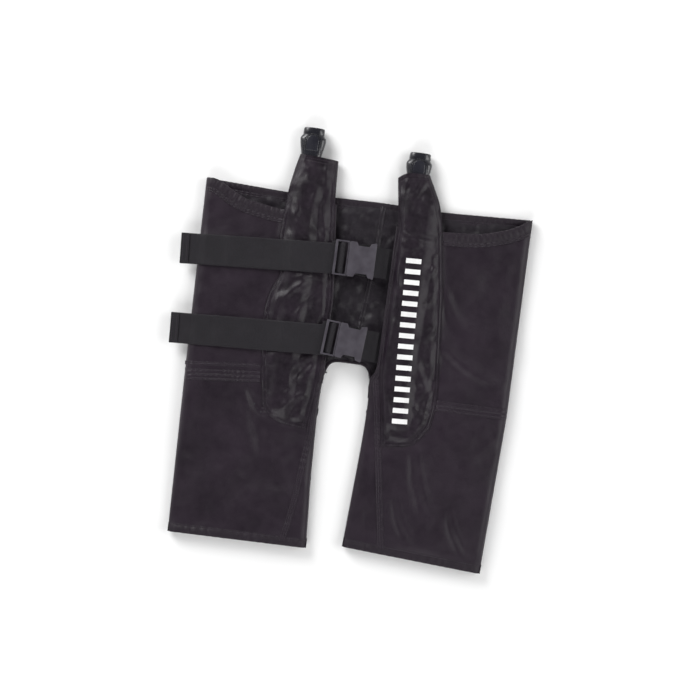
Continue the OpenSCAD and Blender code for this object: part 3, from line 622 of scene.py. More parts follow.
def chamber(mesh, surface, out, row_range, col_range, top_in=1.35, low_in=4.65):
    """One welded air chamber, flat at its weld and a little plump inside it."""
    r0, r1 = row_range
    c0, c1 = col_range
    s, n = surface[r0:r1, c0:c1], out[r0:r1, c0:c1]
    rows, cols = s.shape[:2]
    along = np.minimum(np.arange(rows), np.arange(rows)[::-1])[:, None]
    across_ = np.minimum(np.arange(cols), np.arange(cols)[::-1])[None]
    plump = ease(np.minimum(along, across_), 0, 3)[..., None] * 0.9 + 0.1
    mid, half = (top_in + low_in) / 2, (low_in - top_in) / 2
    mesh.sheet(s - n * (mid - half * plump), s - n * (mid + half * plump))


made = {}


def wall(s, part, level):
    """Outer surface of one panel, with the outward normals of its cloth."""
    plan = grid_of(s, part)
    x, y = plan[..., 0], plan[..., 1]
    z = front_z(s, x, y) if level == "front" else back_z(s, x, y)
    surface = np.stack([x, y, z], -1)
    up = normals(surface)
    out = up if level == "front" else -up
    return surface, out


def flip(grid):
    return grid[:, ::-1]


for side in (LEFT, RIGHT):
    film_hip, film_thigh, lining = Mesh(), Mesh(), Mesh()
    lining_grids = []
    for level in ("front", "back"):
        for part in ("hip", "thigh"):
            surface, out = wall(side, f"{level}_{part}", level)
            if level == "back":  # seen from inside, the back's cloth lies in soft folds
                x, y = surface[..., 0], surface[..., 1]
                rumple = inner_rise(side, x, y)
            else:
                rumple = 0
            node_name = f"{level}_{part}_{side}"
            shell = Mesh().sheet(surface, surface - out
                * SHELL_T) if level == "front" else Mesh().sheet(flip(surface), flip(surface - out * SHELL_T))
            obj = shell.build(f"cloth_{node_name}", "shell")
            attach(obj, "garment")
            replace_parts(obj, node_name)
            made[node_name] = (obj, surface, out)
            rows, cols = surface.shape[:2]
            film = film_hip if part == "hip" else film_thigh
            coarse, coarse_out = surface[::2, ::2], out[::2, ::2]
            crows, ccols = coarse.shape[:2]
            use = coarse if level == "front" else flip(coarse)
            use_out = coarse_out if level == "front" else flip(coarse_out)
            if part == "hip":
                split = int(np.argmin(np.abs(coarse[:, ccols // 2, 1] - 110)))
                chamber(film, use, use_out, (2, split), (3, ccols - 3))
                chamber(film, use, use_out, (split + 2, crows - 2), (3, ccols - 3))
            else:
                chamber(film, use, use_out, (2, crows - 2), (3, ccols - 3))
            inner_s, inner_n = surface[1:-1, 2:-2], out[1:-1, 2:-2]
            raised = np.zeros(inner_s.shape)
            if level == "back":
                raised[..., 2] = rumple[1:-1, 2:-2]
            near, far = inner_s - inner_n * 4.85 + raised * 0.85, inner_s - inner_n * WALL_T + raised
            if level == "front":
                lining.sheet(near, far)
            else:
                lining.sheet(flip(near), flip(far))
            lining_grids.append(far)
    obj = film_hip.build(f"chambers_hip_{side}", "film")
    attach(obj, "garment"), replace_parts(obj, f"hip_bladder_{side}"), obj
    obj = film_thigh.build(f"chambers_thigh_{side}", "film")
    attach(obj, "garment"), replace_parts(obj, f"thigh_bladder_{side}"), obj
    obj = lining.build(f"inner_lining_{side}", "lining")
    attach(obj, "garment"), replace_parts(obj, f"lining_{side}")
    made[f"lining_{side}"] = (obj, lining_grids)


# ---------------------------------------------------------------- seams, hems and stitches
threads = {"garment": Mesh()}


def stitch_row(mesh, points, pitch=3.4, long=2.5, fat=0.42):
    """A row of short thread humps laid along 3-D points."""
    steps = np.linalg.norm(np.diff(points, axis=0), axis=1)
    share = np.concatenate([[0], np.cumsum(steps)])
    places = np.arange(pitch / 2, share[-1], pitch)
    mids = np.stack([np.interp(places, share, points[:, i]) for i in range(3)], -1)
    ahead = np.stack([np.interp(places + 0.5, share, points[:, i]) for i in range(3)], -1)
    behind = np.stack([np.interp(places - 0.5, share, points[:, i]) for i in range(3)], -1)
    forward = ahead - behind
    forward /= np.maximum(np.linalg.norm(forward, axis=1, keepdims=True), 1e-9)
    sideways = np.cross(forward, [0, 0, 1.0])
    sideways /= np.maximum(np.linalg.norm(sideways, axis=1, keepdims=True), 1e-9)
    upward = np.cross(sideways, forward)
    sides, stations = 6, [(-0.5, 0.25), (-0.32, 0.8), (0, 1.0), (0.32, 0.8), (0.5, 0.25)]
    for m, f, a, b in zip(mids, forward, sideways, upward):
        ring = [[m + f * long * k + (a * math.cos(w) + b * math.sin(w)) * fat * r
            for w in np.arange(sides) * 2 * math.pi / sides] for k, r in stations]
        mesh.sweep(np.array(ring))


def on_surface(height, line, lift, offset=0.0, step=2.5, trim=2.0):
    """Points that follow a line over a height function, moved to its left by offset."""
    curve = line if isinstance(line, Curve) else Curve(line)
    t = np.linspace(trim / curve.length, 1 - trim / curve.length, max(3, int(curve.length / step)))
    p = curve(t) + curve.inward(t) * offset
    return np.column_stack([p, height(p[:, 0], p[:, 1]) + lift])


def band(name, line, height, sections, replaces, mat="trim", body="garment", pucker=0.35, pitch=8.0,
        step=2.0, seed=0, rows=()):
    """A folded or wrapped tape: a closed section (inward distance, lift) swept along an edge of the cloth."""
    curve = Curve(line)
    t = np.linspace(0, 1, max(4, int(curve.length / step)))
    p, inward = curve(t), curve.inward(t)
    along = t * curve.length
    wave = np.sin(along / pitch * 2 * math.pi + 2.6 * noise(along, 0 * along, 17,
        seed)) * (0.55 + 0.6 * noise(along, 0 * along, 26, seed + 1))
    rings = []
    for d, lift in sections:
        base = p + inward * max(d, 0.6)
        base[:, 0] = np.clip(base[:, 0], -268.2, 268.8)
        z = height(base[:, 0], base[:, 1]) + lift + pucker * wave * (1 if lift > 0 else 0.3) * (0.4
            if d < 1 else 1)
        spot = p + inward * (d + (0.5 * pucker * wave[:, None] if d < 1 else 0))
        spot[:, 0] = np.clip(spot[:, 0], -268.2, 268.8)
        rings.append(np.column_stack([spot, np.maximum(z, 0.05)]))
    mesh = Mesh().sweep(np.stack(rings, 1)[:, ::-1])
    obj = mesh.build(name, mat)
    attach(obj, body)
    if replaces:
        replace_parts(obj, replaces)
    for offset, lift in rows:
        stitches = on_surface(height, curve, lift, offset)
        stitch_row(threads["garment"], stitches[np.abs(stitches[:, 0]) < 267.5])
    return obj


def wrap(width, over=0.9, wall_t=WALL_T, grooves=()):
    """Section of a tape that wraps an edge: over the top, round it and back underneath."""
    top = [(width, 0.05), (width - 0.5, over * 0.9)]
    d = width - 1.2
    marks = sorted(grooves, reverse=True)
    for g in marks:
        top += [(g + 1.1, over), (g + 0.45, over - min(0.5, over)), (g - 0.45, over - min(0.5, over)),
            (g - 1.1, over)]
    top += [(1.2, over), (0.1, over * 0.75), (-0.7, over * 0.1), (-0.95, -0.35 * wall_t),
        (-0.95, -0.65 * wall_t), (-0.7, -wall_t - over * 0.2)]
    return top + [(0.2, -wall_t - over * 0.8), (1.4, -wall_t - over), (width - 0.6, -wall_t - over),
        (width, -wall_t - 0.1)]


def strip(width, over=0.8, grooves=()):
    """Section of a tape sewn flat on the cloth, centred on its line."""
    half = width / 2
    top = [(half, -0.3), (half - 0.1, over * 0.55), (half - 0.6, over)]
    for g in sorted(grooves, reverse=True):
        top += [(g + 1.0, over), (g + 0.4, over - 0.45), (g - 0.4, over - 0.45), (g - 1.0, over)]
    return top + [(-half + 0.6, over), (-half + 0.1, over * 0.55), (-half, -0.3)]


front = {s: (lambda x, y, s=s: front_z(s, x, y)) for s in (LEFT, RIGHT)}
back_in = {s: (lambda x, y, s=s: back_z(s, x, y) + WALL_T) for s in (LEFT, RIGHT)}
hems = {s: [] for s in (LEFT, RIGHT)}
for side in (LEFT, RIGHT):
    # Waist scoop of the front: a gathered, wrapped hem
    line = [(-267.5, 284.6), (-250, 285), (-204, 258), (-137, 248),
        (-122, 251)][::-1] if side == LEFT else SCOOP[RIGHT][:0:-1] + [(116, 246)]
    hems[side].append(band(f"hem_waist_{side}", line, front[side], wrap(22, 1.1, grooves=(19.5, 15.0)),
        f"waist_hem_{side}",
                           pucker=0.95, pitch=8.5, seed=31, rows=[(19.5, 0.8), (15.0, 0.8)]))
    # Free edge of the front
    edge = FREE_EDGE[side][::-1] if side == RIGHT else FREE_EDGE[side]
    hems[side].append(band(f"binding_front_{side}", edge, front[side], wrap(9.5, 0.8, grooves=(7.0, 3.0)),
        None,
                           pucker=0.25, pitch=11, seed=35, rows=[(7.0, 0.55), (3.0, 0.55)]))
    # Leg hem, front and back
    hem = LEG_HEM[side]
    hems[side].append(band(f"hem_leg_front_{side}", hem, front[side], wrap(14, 0.4, grooves=(12.0,)),
        f"leg_hem_{side}",
                           pucker=0.3, pitch=14, seed=39, rows=[(12.0, 0.25)]))
    hems[side].append(band(f"hem_leg_back_{side}", hem, back_in[side], wrap(14, 0.4, grooves=(12.0,)), None,
        pucker=0.15, pitch=14, seed=43))
    # Felled seam between hip and thigh, and the stitched line above it
    a, b = (np.array(q, float) for q in THIGH_SEAM[side])
    along = (b - a) / np.linalg.norm(b - a)
    rise = np.array([-along[1], along[0]])
    if side == LEFT:
        ends = [a + along * 1.0, a + along * (-139.0 - a[0]) / along[0]]
        spots = [("seam_thigh", 7.0, 19, (7.0, 0.0, -7.0)), ("seam_thigh_top", 25.0, 6, (0.0,))]
    else:
        ends = [a + along * (150.0 - a[0]) / along[0], b - along * 1.0]
        spots = [("seam_thigh", 3.0, 18, (7.5, -1.0, -7.0))]
    for name, offset, width, grooves in spots:
        hems[side].append(band(f"{name}_{side}", [tuple(q + rise * offset) for q in ends], front[side],
            strip(width, 0.9 if name == "seam_thigh" else 0.5, grooves=grooves),
                               f"thigh_seam_{side}" if name == "seam_thigh" else None, mat="shell",
                                   pucker=0.45, pitch=9, seed=47,
                               rows=[(g, 0.7 if name == "seam_thigh" else 0.35) for g in grooves]))
    # Inseam band with three rows of stitches
    hems[side].append(band(f"seam_inner_{side}", INSEAM[side], front[side],
        strip(11, 0.8, grooves=(3.6, 0.0, -3.6)), f"inseam_{side}", mat="shell",
                           pucker=0.35, pitch=10, seed=53, rows=[(3.6, 0.65), (0.0, 0.65), (-3.6, 0.65)]))


def back_inner(x, y):
    return np.where(np.asarray(x) < 12, back_in[LEFT](x, y), back_in[RIGHT](x, y))


band("hem_waist_back",
    [(265, 284.5), (120, 278.6), (24, 281.5), (-130, 278.6), (-265, 284.5)], back_inner,
                      wrap(17, 1.0, grooves=(14.0, 10.5)), "waist_hem_back", pucker=0.5, pitch=9, seed=59,
                          rows=[(14.0, 0.75), (10.5, 0.75)])


def inner_rumple(x, y):
    rise = np.where(np.asarray(x) < 12, inner_rise(LEFT, x, y), inner_rise(RIGHT, x, y))
    return back_inner(x, y) + rise


band("seam_back", [(3.5, 18), (14, 100), (23, 200), (24, 277)], inner_rumple,
    strip(9, 0.9, grooves=(2.8, -2.8)), None, mat="lining",
                      pucker=0.35, pitch=9, seed=61, rows=[(2.8, 0.7), (-2.8, 0.7)])
band("binding_crotch", BACK_CROTCH[LEFT][1:] + BACK_CROTCH[RIGHT][1:-1], back_inner,
    wrap(8, 0.8, grooves=(5.0,)), None,
                      pucker=0.25, pitch=9, seed=67)

# ---------------------------------------------------------------- hose pockets and sleeves
for side in (LEFT, RIGHT):
    left_line, right_line, bottom_line = COVER[side]
    v = np.linspace(0, 1, int(right_line.length / 2.2))
    u = np.concatenate([[0, 0.006, 0.015, 0.03], np.linspace(0.05, 0.95, 50), [0.97, 0.985, 0.994, 1]])
    plan = patch(bottom_line, right_line, Curve(PATH_TOP[side]), left_line, u, v)
    x, y = plan[..., 0], plan[..., 1]
    z = cover_z(side, x, y)
    ends = np.arange(len(v))[:, None] - (len(v) - 1)
    z = z - np.where(y > 300, 0.7 * np.exp(-(((ends + 3) / 0.6) ** 2)), 0)
    top = np.stack([x, y, z], -1)
    out = normals(top)
    cover = Mesh().sheet(top, top - out * SHELL_T)
    # Underside of the sleeve, from the front's waist edge up
    rows = np.where(y.min(1) > UNDER_FROM[side])[0]
    under = top[rows].copy()
    middle, dome, _ = sleeve_shape(side, under[..., 0], under[..., 1])
    belly = 19.4 + (0.4 - 19.4) * ease(under[..., 1], 288, 312)
    under[..., 2] = middle - (middle - belly) * dome + 0.3 * (1 + noise(under[..., 0], under[..., 1], 16,
        17)) * dome
    under[:, [0, -1], 2] = top[rows][:, [0, -1], 2] - SHELL_T
    under_out = normals(under)
    cover.sheet(under + under_out * SHELL_T * np.minimum(dome * 2, 1)[..., None], under)
    obj = cover.build(f"hose_cover_{side}", "pocket")
    cx = TUBE_X[side]
    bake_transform(obj)
    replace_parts(obj, f"hose_pocket_{side}", f"sleeve_{side}")
    made[f"cover_{side}"] = (obj, top)
    # Stitches along the border of pocket and sleeve, and round the sleeve's mouth
    rows_mesh = Mesh()
    height = lambda px, py, s=side: cover_z(s, px, py)
    line = np.concatenate([left_line.points[::-1], bottom_line.points[1:-1], right_line.points])
    for inset_ in (2.6, 7.4):
        stitch_row(rows_mesh, on_surface(height, Curve(line, smooth=False), 0.12, inset_, trim=5))
    for back_off in (2, 4):
        stitch_row(rows_mesh, top[-1 - back_off][6:-6] + [0, 0, 0.1])
    obj = rows_mesh.build(f"cover_stitches_{side}", "thread")
    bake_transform(obj)
    made[f"cover_stitches_{side}"] = obj

# Plain printed bars down the right pocket
bars = Mesh()
ladder = Curve([(84, 197), (89, 60), (96, -82)])
count, gap = 16, 9.5
each = ladder.length / count
for i in range(count):
    t0, t1 = i * each / ladder.length, (i * each + each - gap) / ladder.length
    t = np.linspace(t0, t1, 7)
    centre, sideways = ladder(t), ladder.inward(t)
    w = np.linspace(-12.5, 12.5, 15)
    pts = centre[:, None] + sideways[:, None] * w[None, :, None]
    z = pocket_z(RIGHT, pts[..., 0], pts[..., 1])
    grid = np.concatenate([pts, z[..., None]], -1)
    n = normals(grid)
    n *= np.sign(n[..., 2:3])
    bars.sheet(grid + n * 0.22, grid - n * 0.05) if normals(grid)[0, 0,
        2] > 0 else bars.sheet(flip(grid + n * 0.22), flip(grid - n * 0.05))
obj = bars.build("print_bars", "mark")
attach(obj, "garment")
made["print_bars"] = obj

# ---------------------------------------------------------------- straps
WEB_W, WEB_T = 50.0, 1.5
ROWS = {"upper": dict(start=(-38, 180.8), turn=183.4, buckle=(0, 183), buckle_turn=0.0),
    "lower": dict(start=(-40, 47.2), turn=182.7, buckle=(0, 49), buckle_turn=-4.6)}
RUN_Z, LOOP_Z, SEWN_END = 28.5, 30.2, 178.0
TAIL_TRAVEL = 36.0 + 50.0  # with its plug, and drawn through the ladder bar
TAIL_OVERHANG = 27.0  # past the garment's side


def strap_sheet(profile, to_plan, wobble=0.0, seed=0, drape=None):
    """Webbing that follows a side profile [(along, height)], as a closed sheet WEB_T thick."""
    profile = np.array(profile, float)
    steps = np.linalg.norm(np.diff(profile, axis=0), axis=1)
    share = np.concatenate([[0], np.cumsum(steps)])
    places = np.linspace(0, share[-1], max(3, int(share[-1] / 2.0)))
    along, height = np.interp(places, share, profile[:, 0]), np.interp(places, share, profile[:, 1])
    for _ in range(2):
        height[1:-1] = (height[:-2] + 2 * height[1:-1] + height[2:]) / 4
        along[1:-1] = (along[:-2] + 2 * along[1:-1] + along[2:]) / 4
    da, dh = np.gradient(along), np.gradient(height)
    size = np.hypot(da, dh)
    across_ = np.concatenate([[-WEB_W / 2, -WEB_W / 2 + 0.5],
        np.linspace(-WEB_W / 2 + 2, WEB_W / 2 - 2, 15), [WEB_W / 2 - 0.5, WEB_W / 2]])
    thin = np.ones(len(across_))
    thin[[0, -1]] = 0.35
    thin[[1, -2]] = 0.8
    curl = 0.25 * (np.abs(across_) / (WEB_W / 2)) ** 4
    a = along[:, None] + 0 * across_[None]
    c = across_[None] + wobble * noise(along, 0 * along, 60, seed)[:, None]
    h = height[:, None] + curl[None]
    if drape is not None:
        px, py = to_plan(a, c)
        h = h + drape(px, py, a)
    nx, nz = (-dh / size)[:, None], (da / size)[:, None]
    half = WEB_T / 2 * thin[None]
    grids = []
    for sign in (1, -1):
        px, py = to_plan(a + nx * half * sign, c)
        grids.append(np.stack([px, py, h + nz * half * sign], -1))
    uv = np.stack(np.broadcast_arrays(across_[None], places[:, None]), -1)
    return grids[0], grids[1], uv


def face_up(mesh, top, bottom, uv):
    """Adds a sheet whose faces point out, whichever way its grid turns."""
    if normals(top)[top.shape[0] // 2, top.shape[1] // 2] @ (top - bottom)[top.shape[0] // 2,
            top.shape[1] // 2] > 0:
        return mesh.sheet(top, bottom, uv)
    return mesh.sheet(flip(top), flip(bottom), uv[:, ::-1])


def frame_of(origin, degrees):
    c, n = math.cos(math.radians(degrees)), math.sin(math.radians(degrees))
    return lambda a, t: (origin[0] + a * c - t * n, origin[1] + a * n + t * c)


for row, spec in ROWS.items():
    strap = frame_of(spec["start"], spec["turn"])
    buckle = frame_of(spec["buckle"], spec["buckle_turn"])
    # What the strap lies on, smoothed as stiff webbing would
    a = np.arange(-4.0, 262.0, 2.0)
    t = np.linspace(-22, 22, 9)
    px, py = strap(a[:, None], t[None])
    inside = depth(px, py, [(-269, 285), (-263, -44), (-37, -24), (-39, 84), (-38, 113), (-53, 285)]) > 0
    ground = np.where(inside, top_z(LEFT, px, py), 18.0)
    rest = np.sort(ground, axis=1)[:, -3:].mean(1)
    rest[a < 4] = RUN_Z
    for _ in range(14):
        rest[1:-1] = np.maximum(rest[1:-1],
            (rest[:-2] + rest[2:]) / 2) * 0.35 + 0.65 * (rest[:-2] + 2 * rest[1:-1] + rest[2:]) / 4
    edge_at = 228.0 if row == "upper" else 222.0
    rest = np.where(a > edge_at, np.minimum(rest, rest[int((edge_at + 4) / 2)]), rest)
    low = lambda s: np.interp(s, a, rest)
    # The free end slides along the strap, so it stays above everything that it can be drawn over
    peak = ground.max(1)
    clear = np.array([peak[i:i + int(TAIL_TRAVEL / 2) + 1].max() for i in range(len(a))])
    for _ in range(10):
        clear[1:-1] = np.maximum(clear[1:-1], (clear[:-2] + clear[2:]) / 2)
    clear = np.where(a > edge_at, clear[int((edge_at + 4) / 2)], clear)
    above = lambda s: np.interp(s, a, clear)
    s = np.arange(-1.0, SEWN_END, 2.0)
    run_profile = [(q, max(low(q), RUN_Z if q < 20 else 0) + 0.35 + WEB_T / 2) for q in s]
    top, bottom, uv = strap_sheet(run_profile, strap, seed=71)
    obj = face_up(Mesh(), top, bottom, uv).build(f"web_run_{row}", "webbing")
    at(*strap(150.0, 0.0), 25)
    at(*strap(6.0, 0.0), 30)
    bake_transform(obj)
    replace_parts(obj, f"strap_run_{row}")
    # Free end on top of it, its tip folded back and stitched
    slant = math.radians(spec["turn"] - 180)
    tail_end = (SIDE_X + TAIL_OVERHANG + spec["start"][0]) / math.cos(slant) - WEB_W / 2 * math.tan(slant)
    s = np.arange(6.0, tail_end, 2.0)
    lift = lambda q: 0.55 + 1.5 * WEB_T if q < SEWN_END else 0.45 + WEB_T / 2 + (WEB_T + 0.1) * (1 - ease(q,
        SEWN_END, SEWN_END + 12))
    tail_profile = [(q, max(above(q),
        RUN_Z if q < 20 else 0) + float(lift(q)) + 0.5
            * math.sin(q / 31.0 + (1 if row == "upper" else 2.2)) * ease(q, 30, 80)) for q in s]
    sag = 1.2 if row == "upper" else 2.0
    tail_profile = [(q, h - sag * float(ease(q, edge_at, tail_end + 6))) for q,
        h in tail_profile] + [(tail_end, tail_profile[-1][1] - sag)]
    end_h = tail_profile[-1][1]
    drape = lambda px, py, al: (1.0 * noise(px, py, 46, 73) + 0.4 * noise(px, py, 20, 74)) * ease(al, 30, 80)
    tail = Mesh()
    top, bottom, uv = strap_sheet(tail_profile, strap, wobble=0.5, seed=75, drape=drape)
    face_up(tail, top, bottom, uv)
    fold_back = [(q, h + WEB_T + 0.12) for q, h in tail_profile if q > tail_end - 14]
    top2, bottom2, uv2 = strap_sheet(fold_back, strap, wobble=0.5, seed=75, drape=drape)
    face_up(tail, top2, bottom2, uv2)
    tip = [(tail_end - 0.2, end_h - 0.2), (tail_end + 1.0, end_h + 0.3),
        (tail_end + 1.2, end_h + WEB_T / 2 + 0.1), (tail_end + 1.0, end_h + WEB_T),
            (tail_end - 0.2, end_h + WEB_T + 0.3)]
    top3, bottom3, uv3 = strap_sheet(tip, strap, wobble=0.5, seed=75, drape=drape)
    face_up(tail, top3, bottom3, uv3)
    obj = tail.build(f"web_tail_{row}", "webbing")
    at(*strap(8.0, 0.0), 31)
    at(*strap(tail_end - 15, 0.0), 22)
    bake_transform(obj)
    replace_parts(obj, f"strap_tail_{row}")
    web_stitches = Mesh()
    for back_off in (3.0, 9.5):
        q = tail_end - back_off
        t = np.linspace(-21, 21, 22)
        px, py = strap(np.full(22, q), t)
        h = np.interp(q, [p[0] for p in tail_profile],
            [p[1] for p in tail_profile]) + 1.5 * WEB_T + 0.2 + drape(px, py, q + 0 * px)
        stitch_row(web_stitches, np.column_stack([px, py, h]))
    obj_s = web_stitches.build(f"web_stitches_{row}", "thread")
    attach(obj_s, f"tail_{row}")
    # Fold round the ladder's bar
    r = WEB_T / 2
    loop = [(-49, LOOP_Z + r), (-40, LOOP_Z + r), (-31, LOOP_Z + r + 0.2), (-28.7, LOOP_Z + 2.2),
        (-28.3, 35.6), (-28.8, 37.0), (-30.2, 37.75), (-33, 37.75),
            (-34.8, 37.3), (-35.6, 36.0), (-36.4, 34.0), (-39, 32.9), (-44, LOOP_Z + 2.3),
                (-51, LOOP_Z + 1.9)]
    top, bottom, uv = strap_sheet(loop, buckle)
    obj = face_up(Mesh(), top, bottom, uv).build(f"web_loop_{row}", "webbing")
    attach(obj, f"plug_{row}")
    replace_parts(obj, f"strap_loop_{row}")
    # Sewn end on the socket's side, down and under the right front
    anchor = [(18, 37.3), (15.4, 36.8), (14.8, 34.6), (14.9, 31.6), (16.2, 30.6), (19.5, 30.4), (24, 28.5),
        (31, 23.5), (38, 17.5), (44, 14.0), (52, 13.3), (72, 13.3)]
    top, bottom, uv = strap_sheet(anchor, buckle)
    anchor_mesh = face_up(Mesh(), top, bottom, uv)
    upper_leaf = [(18, 37.2), (21.5, 35.6), (25, 31.4), (31, 26.0), (38, 19.6), (43, 16.4)]
    top2, bottom2, uv2 = strap_sheet(upper_leaf, buckle)
    face_up(anchor_mesh, top2, bottom2, uv2)
    obj = anchor_mesh.build(f"web_anchor_{row}", "webbing")
    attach(obj, "garment")
    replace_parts(obj, f"strap_anchor_{row}")


# ---------------------------------------------------------------- hard parts: CAD shapes, moulded edges
def moulded(node_name, name, mat, width, segments=3):
    """A copy of a CAD node with rounded edges."""
    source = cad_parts[node_name]
    bm = bmesh.new()
    bm.from_mesh(source.data)
    bmesh.ops.remove_doubles(bm, verts=bm.verts, dist=1e-6)
    bmesh.ops.dissolve_limit(bm, angle_limit=math.radians(3), verts=bm.verts, edges=bm.edges)
    mesh = bpy.data.meshes.new(name)
    bm.to_mesh(mesh)
    bm.free()
    mesh.materials.clear()
    mesh.materials.append(MAT[mat])
    obj = bpy.data.objects.new(name, mesh)
    obj.matrix_world = source.matrix_world.copy()
    bpy.context.collection.objects.link(obj)
    bevel = obj.modifiers.new("edges", "BEVEL")
    bevel.width, bevel.segments = width / 1000, segments
    bevel.limit_method, bevel.angle_limit = "ANGLE", math.radians(32)
    bevel.use_clamp_overlap, bevel.harden_normals = True, False
    bpy.context.view_layer.objects.active = obj
    obj.select_set(True)
    bpy.ops.object.modifier_apply(modifier=bevel.name)
    obj.select_set(False)
    obj.data.polygons.foreach_set("use_smooth", [True] * len(obj.data.polygons))
    obj.data.set_sharp_from_angle(angle=math.radians(38))
    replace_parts(obj, node_name)
    return obj


for row in ROWS:
    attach(moulded(f"buckle_socket_{row}", f"socket_{row}", "plate", 0.7), "garment")
    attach(moulded(f"buckle_plug_{row}", f"plug_frame_{row}", "plate", 0.6), f"plug_{row}")
    for end in ("waist", "hem"):
        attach(moulded(f"{end}_prong_{row}", f"prong_{end}_{row}", "prong", 0.6), f"{end}_prong_{row}_body")
# Connector: along its length, the distance from the mouth, half width, half thickness and squareness
INLET = [(-58, 14.6, 8.0, 3.0), (-57.2, 15.8, 9.0, 3.0), (-55, 16.3, 9.5, 3.0), (-46, 16.5, 9.8, 3.2),
    (-40, 17.4, 10.1, 3.4), (-32, 19.2, 10.4, 3.6),
         (-25, 20.6, 10.5, 3.6), (-20, 21.1, 10.5, 3.6), (-17.5, 21.0, 10.5, 3.4), (-16, 20.4, 10.3, 3.2),
             (-14.4, 19.2, 10.0, 3.0), (-12.8, 18.2, 9.8, 2.8),
         (-11.8, 17.5, 9.5, 2.7), (-11.2, 17.2, 9.2, 2.6), (-10.4, 17.5, 9.5, 2.6), (-6, 17.4, 9.6, 2.6),
             (-2.4, 17.1, 9.6, 2.6), (-0.9, 16.6, 9.4, 2.6),
         (-0.2, 15.9, 9.1, 2.5), (0, 15.0, 8.8, 2.4), (0, 8.7, 8.5, 2.0), (-0.25, 8.15, 8.15, 2.0),
             (-0.8, 8.0, 8.0, 2.0), (-6, 8.0, 8.0, 2.0), (-11, 8.0, 8.0, 2.0)]


def inlet_top(x, y_in):
    """Height of the connector's front face above its middle."""
    outer = np.array(INLET[:20])
    w, t, p = (np.interp(y_in, outer[:, 0], outer[:, i]) for i in (1, 2, 3))
    return t * np.maximum(1 - np.abs(x / w) ** p, 0) ** (1 / p)


def rod(mesh, points, radius, sides=8):
    """A thin round bead along 3-D points."""
    points = np.array(points, float)
    forward = np.gradient(points, axis=0)
    forward /= np.linalg.norm(forward, axis=1, keepdims=True)
    sideways = np.cross(forward, [0, 0, 1.0])
    sideways /= np.linalg.norm(sideways, axis=1, keepdims=True)
    upward = np.cross(sideways, forward)
    w = np.arange(sides) * 2 * math.pi / sides
    return mesh.sweep(points[:, None] + radius
        * (sideways[:, None] * np.cos(w)[None, :, None] + upward[:, None] * np.sin(w)[None, :, None]))


for side in (LEFT, RIGHT):
    cx, mouth = TUBE_X[side], CONNECTOR_TOP[side]
    angles = np.arange(56) * 2 * math.pi / 56
    rings = []
    for y_in, w, t, p in INLET:
        ca, sa = np.cos(angles), np.sin(angles)
        rings.append(np.column_stack([cx + w * np.sign(ca) * np.abs(ca) ** (2 / p),
            np.full(56, mouth + y_in), CONNECTOR_Z + t * np.sign(sa) * np.abs(sa) ** (2 / p)]))
    shell = Mesh().sweep(np.array(rings)[:, ::-1])
    for facing in (1, -1):  # arched rims round the release pad, and a ridge down the shoulder
        for reach in (12.2, 14.6):
            arc = [(-reach, -43.0), (-reach, -30.0)] + [(-reach * math.cos(w),
                -24.0 + reach * math.sin(w) * 0.95)
                    for w in np.linspace(0.15, math.pi - 0.15, 15)] + [(reach, -30.0), (reach, -43.0)]
            line = Curve(arc)(np.linspace(0, 1, 46))
            rod(shell, [(cx + q[0], mouth + q[1], CONNECTOR_Z + facing * (inlet_top(q[0], q[1]) + 0.05))
                for q in line], 0.55)
        rod(shell, [(cx + 15.6 - 0.5 * k, mouth - 9.5 + k,
            CONNECTOR_Z + facing * (inlet_top(15.6 - 0.5 * k, -9.5 + k) - 0.1))
                for k in np.linspace(0, 8.0, 8)], 0.5)
    obj = shell.build(f"inlet_{side}", "connector")
    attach(obj, f"neck_{side}")
    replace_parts(obj, f"connector_{side}")
    for face in ("front", "back"):
        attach(moulded(f"{face}_pad_{side}", f"release_{face}_{side}", "pad", 0.8),
            f"{face}_pad_{side}_body")
    for node_name, mat in ((f"manifold_{side}", "fitting"), (f"air_ports_{side}", "fitting"),
            (f"neck_tubes_{side}", "tube"), (f"air_tubes_{side}", "tube")):
        for slot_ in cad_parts[node_name].material_slots:
            slot_.link = "DATA"
            slot_.material = MAT[mat]

obj = threads["garment"].build("seam_stitches", "thread")
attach(obj, "garment")
made["seam_stitches"] = obj

for side in (LEFT, RIGHT):
    for level in ("front", "back"):
        for part in ("hip", "thigh"):
            name = f"{level}_{part}_{side}"
            obj, surface, _ = made[name]
    obj, grids = made[f"lining_{side}"]
    obj, top = made[f"cover_{side}"]

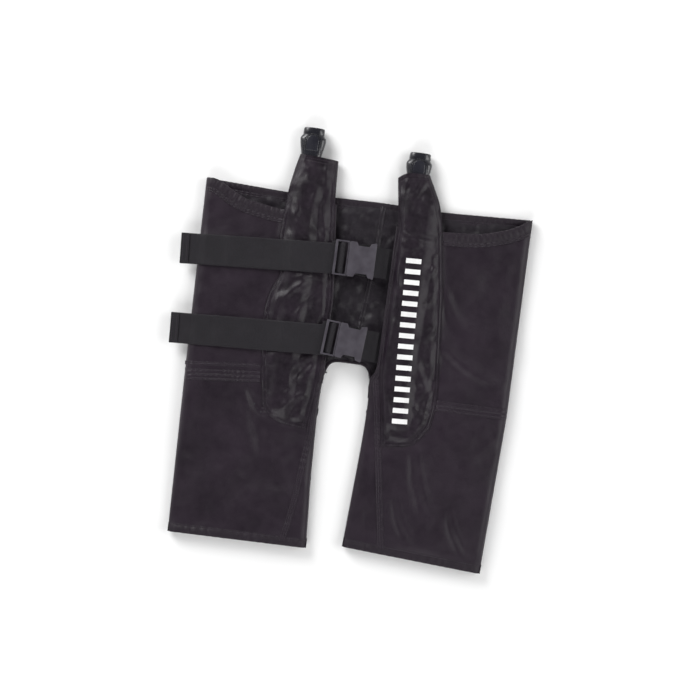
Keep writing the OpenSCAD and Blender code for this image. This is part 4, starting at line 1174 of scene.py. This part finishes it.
# ---------------------------------------------------------------- floor and light
floor_mesh = bpy.data.meshes.new("floor")
floor_mesh.from_pydata([(-6, -6, 0), (6, -6, 0), (6, 6, 0), (-6, 6, 0)], [], [(0, 1, 2, 3)])


def paper(tree, shader):
    fleck = node(tree, "ShaderNodeTexNoise", [(mapped(tree, "Object", (1, 1, 1)), 0)], in_Scale=3.0,
        in_Detail=2.0)
    tree.links.new(ramp(tree, fleck.outputs[0], [(0.2, (0.88, 0.88, 0.88)), (0.8, (0.9, 0.9, 0.9))]),
        shader.inputs["Base Color"])
    shader.inputs["Roughness"].default_value = 0.9
    shader.inputs["Specular IOR Level"].default_value = 0.1


floor_mesh.materials.append(material("paper", paper))
floor = bpy.data.objects.new("floor", floor_mesh)
floor.location = (0, 0, -0.0004)
bpy.context.collection.objects.link(floor)

world = bpy.data.worlds.new("studio")
world.use_nodes = True
sky = world.node_tree
aloft = node(sky, "ShaderNodeSeparateXYZ", [(sky.nodes.new("ShaderNodeTexCoord").outputs["Generated"], 0)])
sky.links.new(ramp(sky, aloft.outputs["Z"],
    [(0.0, (1.0, 1.0, 1.0)), (0.5, (0.5, 0.5, 0.5)), (0.9, (0.05, 0.05, 0.05))]),
        sky.nodes["Background"].inputs[0])
sky.nodes["Background"].inputs[1].default_value = 0.9
bpy.context.scene.world = world
bpy.context.scene.view_settings.view_transform = "Standard"


def area_light(name, place, aim, size, power, tint=(1, 1, 1)):
    light = bpy.data.lights.new(name, "AREA")
    light.shape, light.size, light.energy, light.color = "SQUARE", size, power, tint
    obj = bpy.data.objects.new(name, light)
    obj.location = place
    direction = np.array(aim, float) - np.array(place, float)
    flat_ = math.hypot(direction[0], direction[1])
    obj.rotation_euler = (math.pi / 2 - math.atan2(-direction[2], flat_) + 0.0, 0,
        math.atan2(direction[1], direction[0]) - math.pi / 2)
    bpy.context.collection.objects.link(obj)


area_light("key", (-1.9, 1.8, 1.7), (0, 0, 0), 1.7, 84)
area_light("fill", (2.1, 0.2, 1.9), (0, 0, 0), 1.9, 38)
area_light("low", (-0.2, -2.3, 1.8), (0, 0, 0), 1.8, 38)
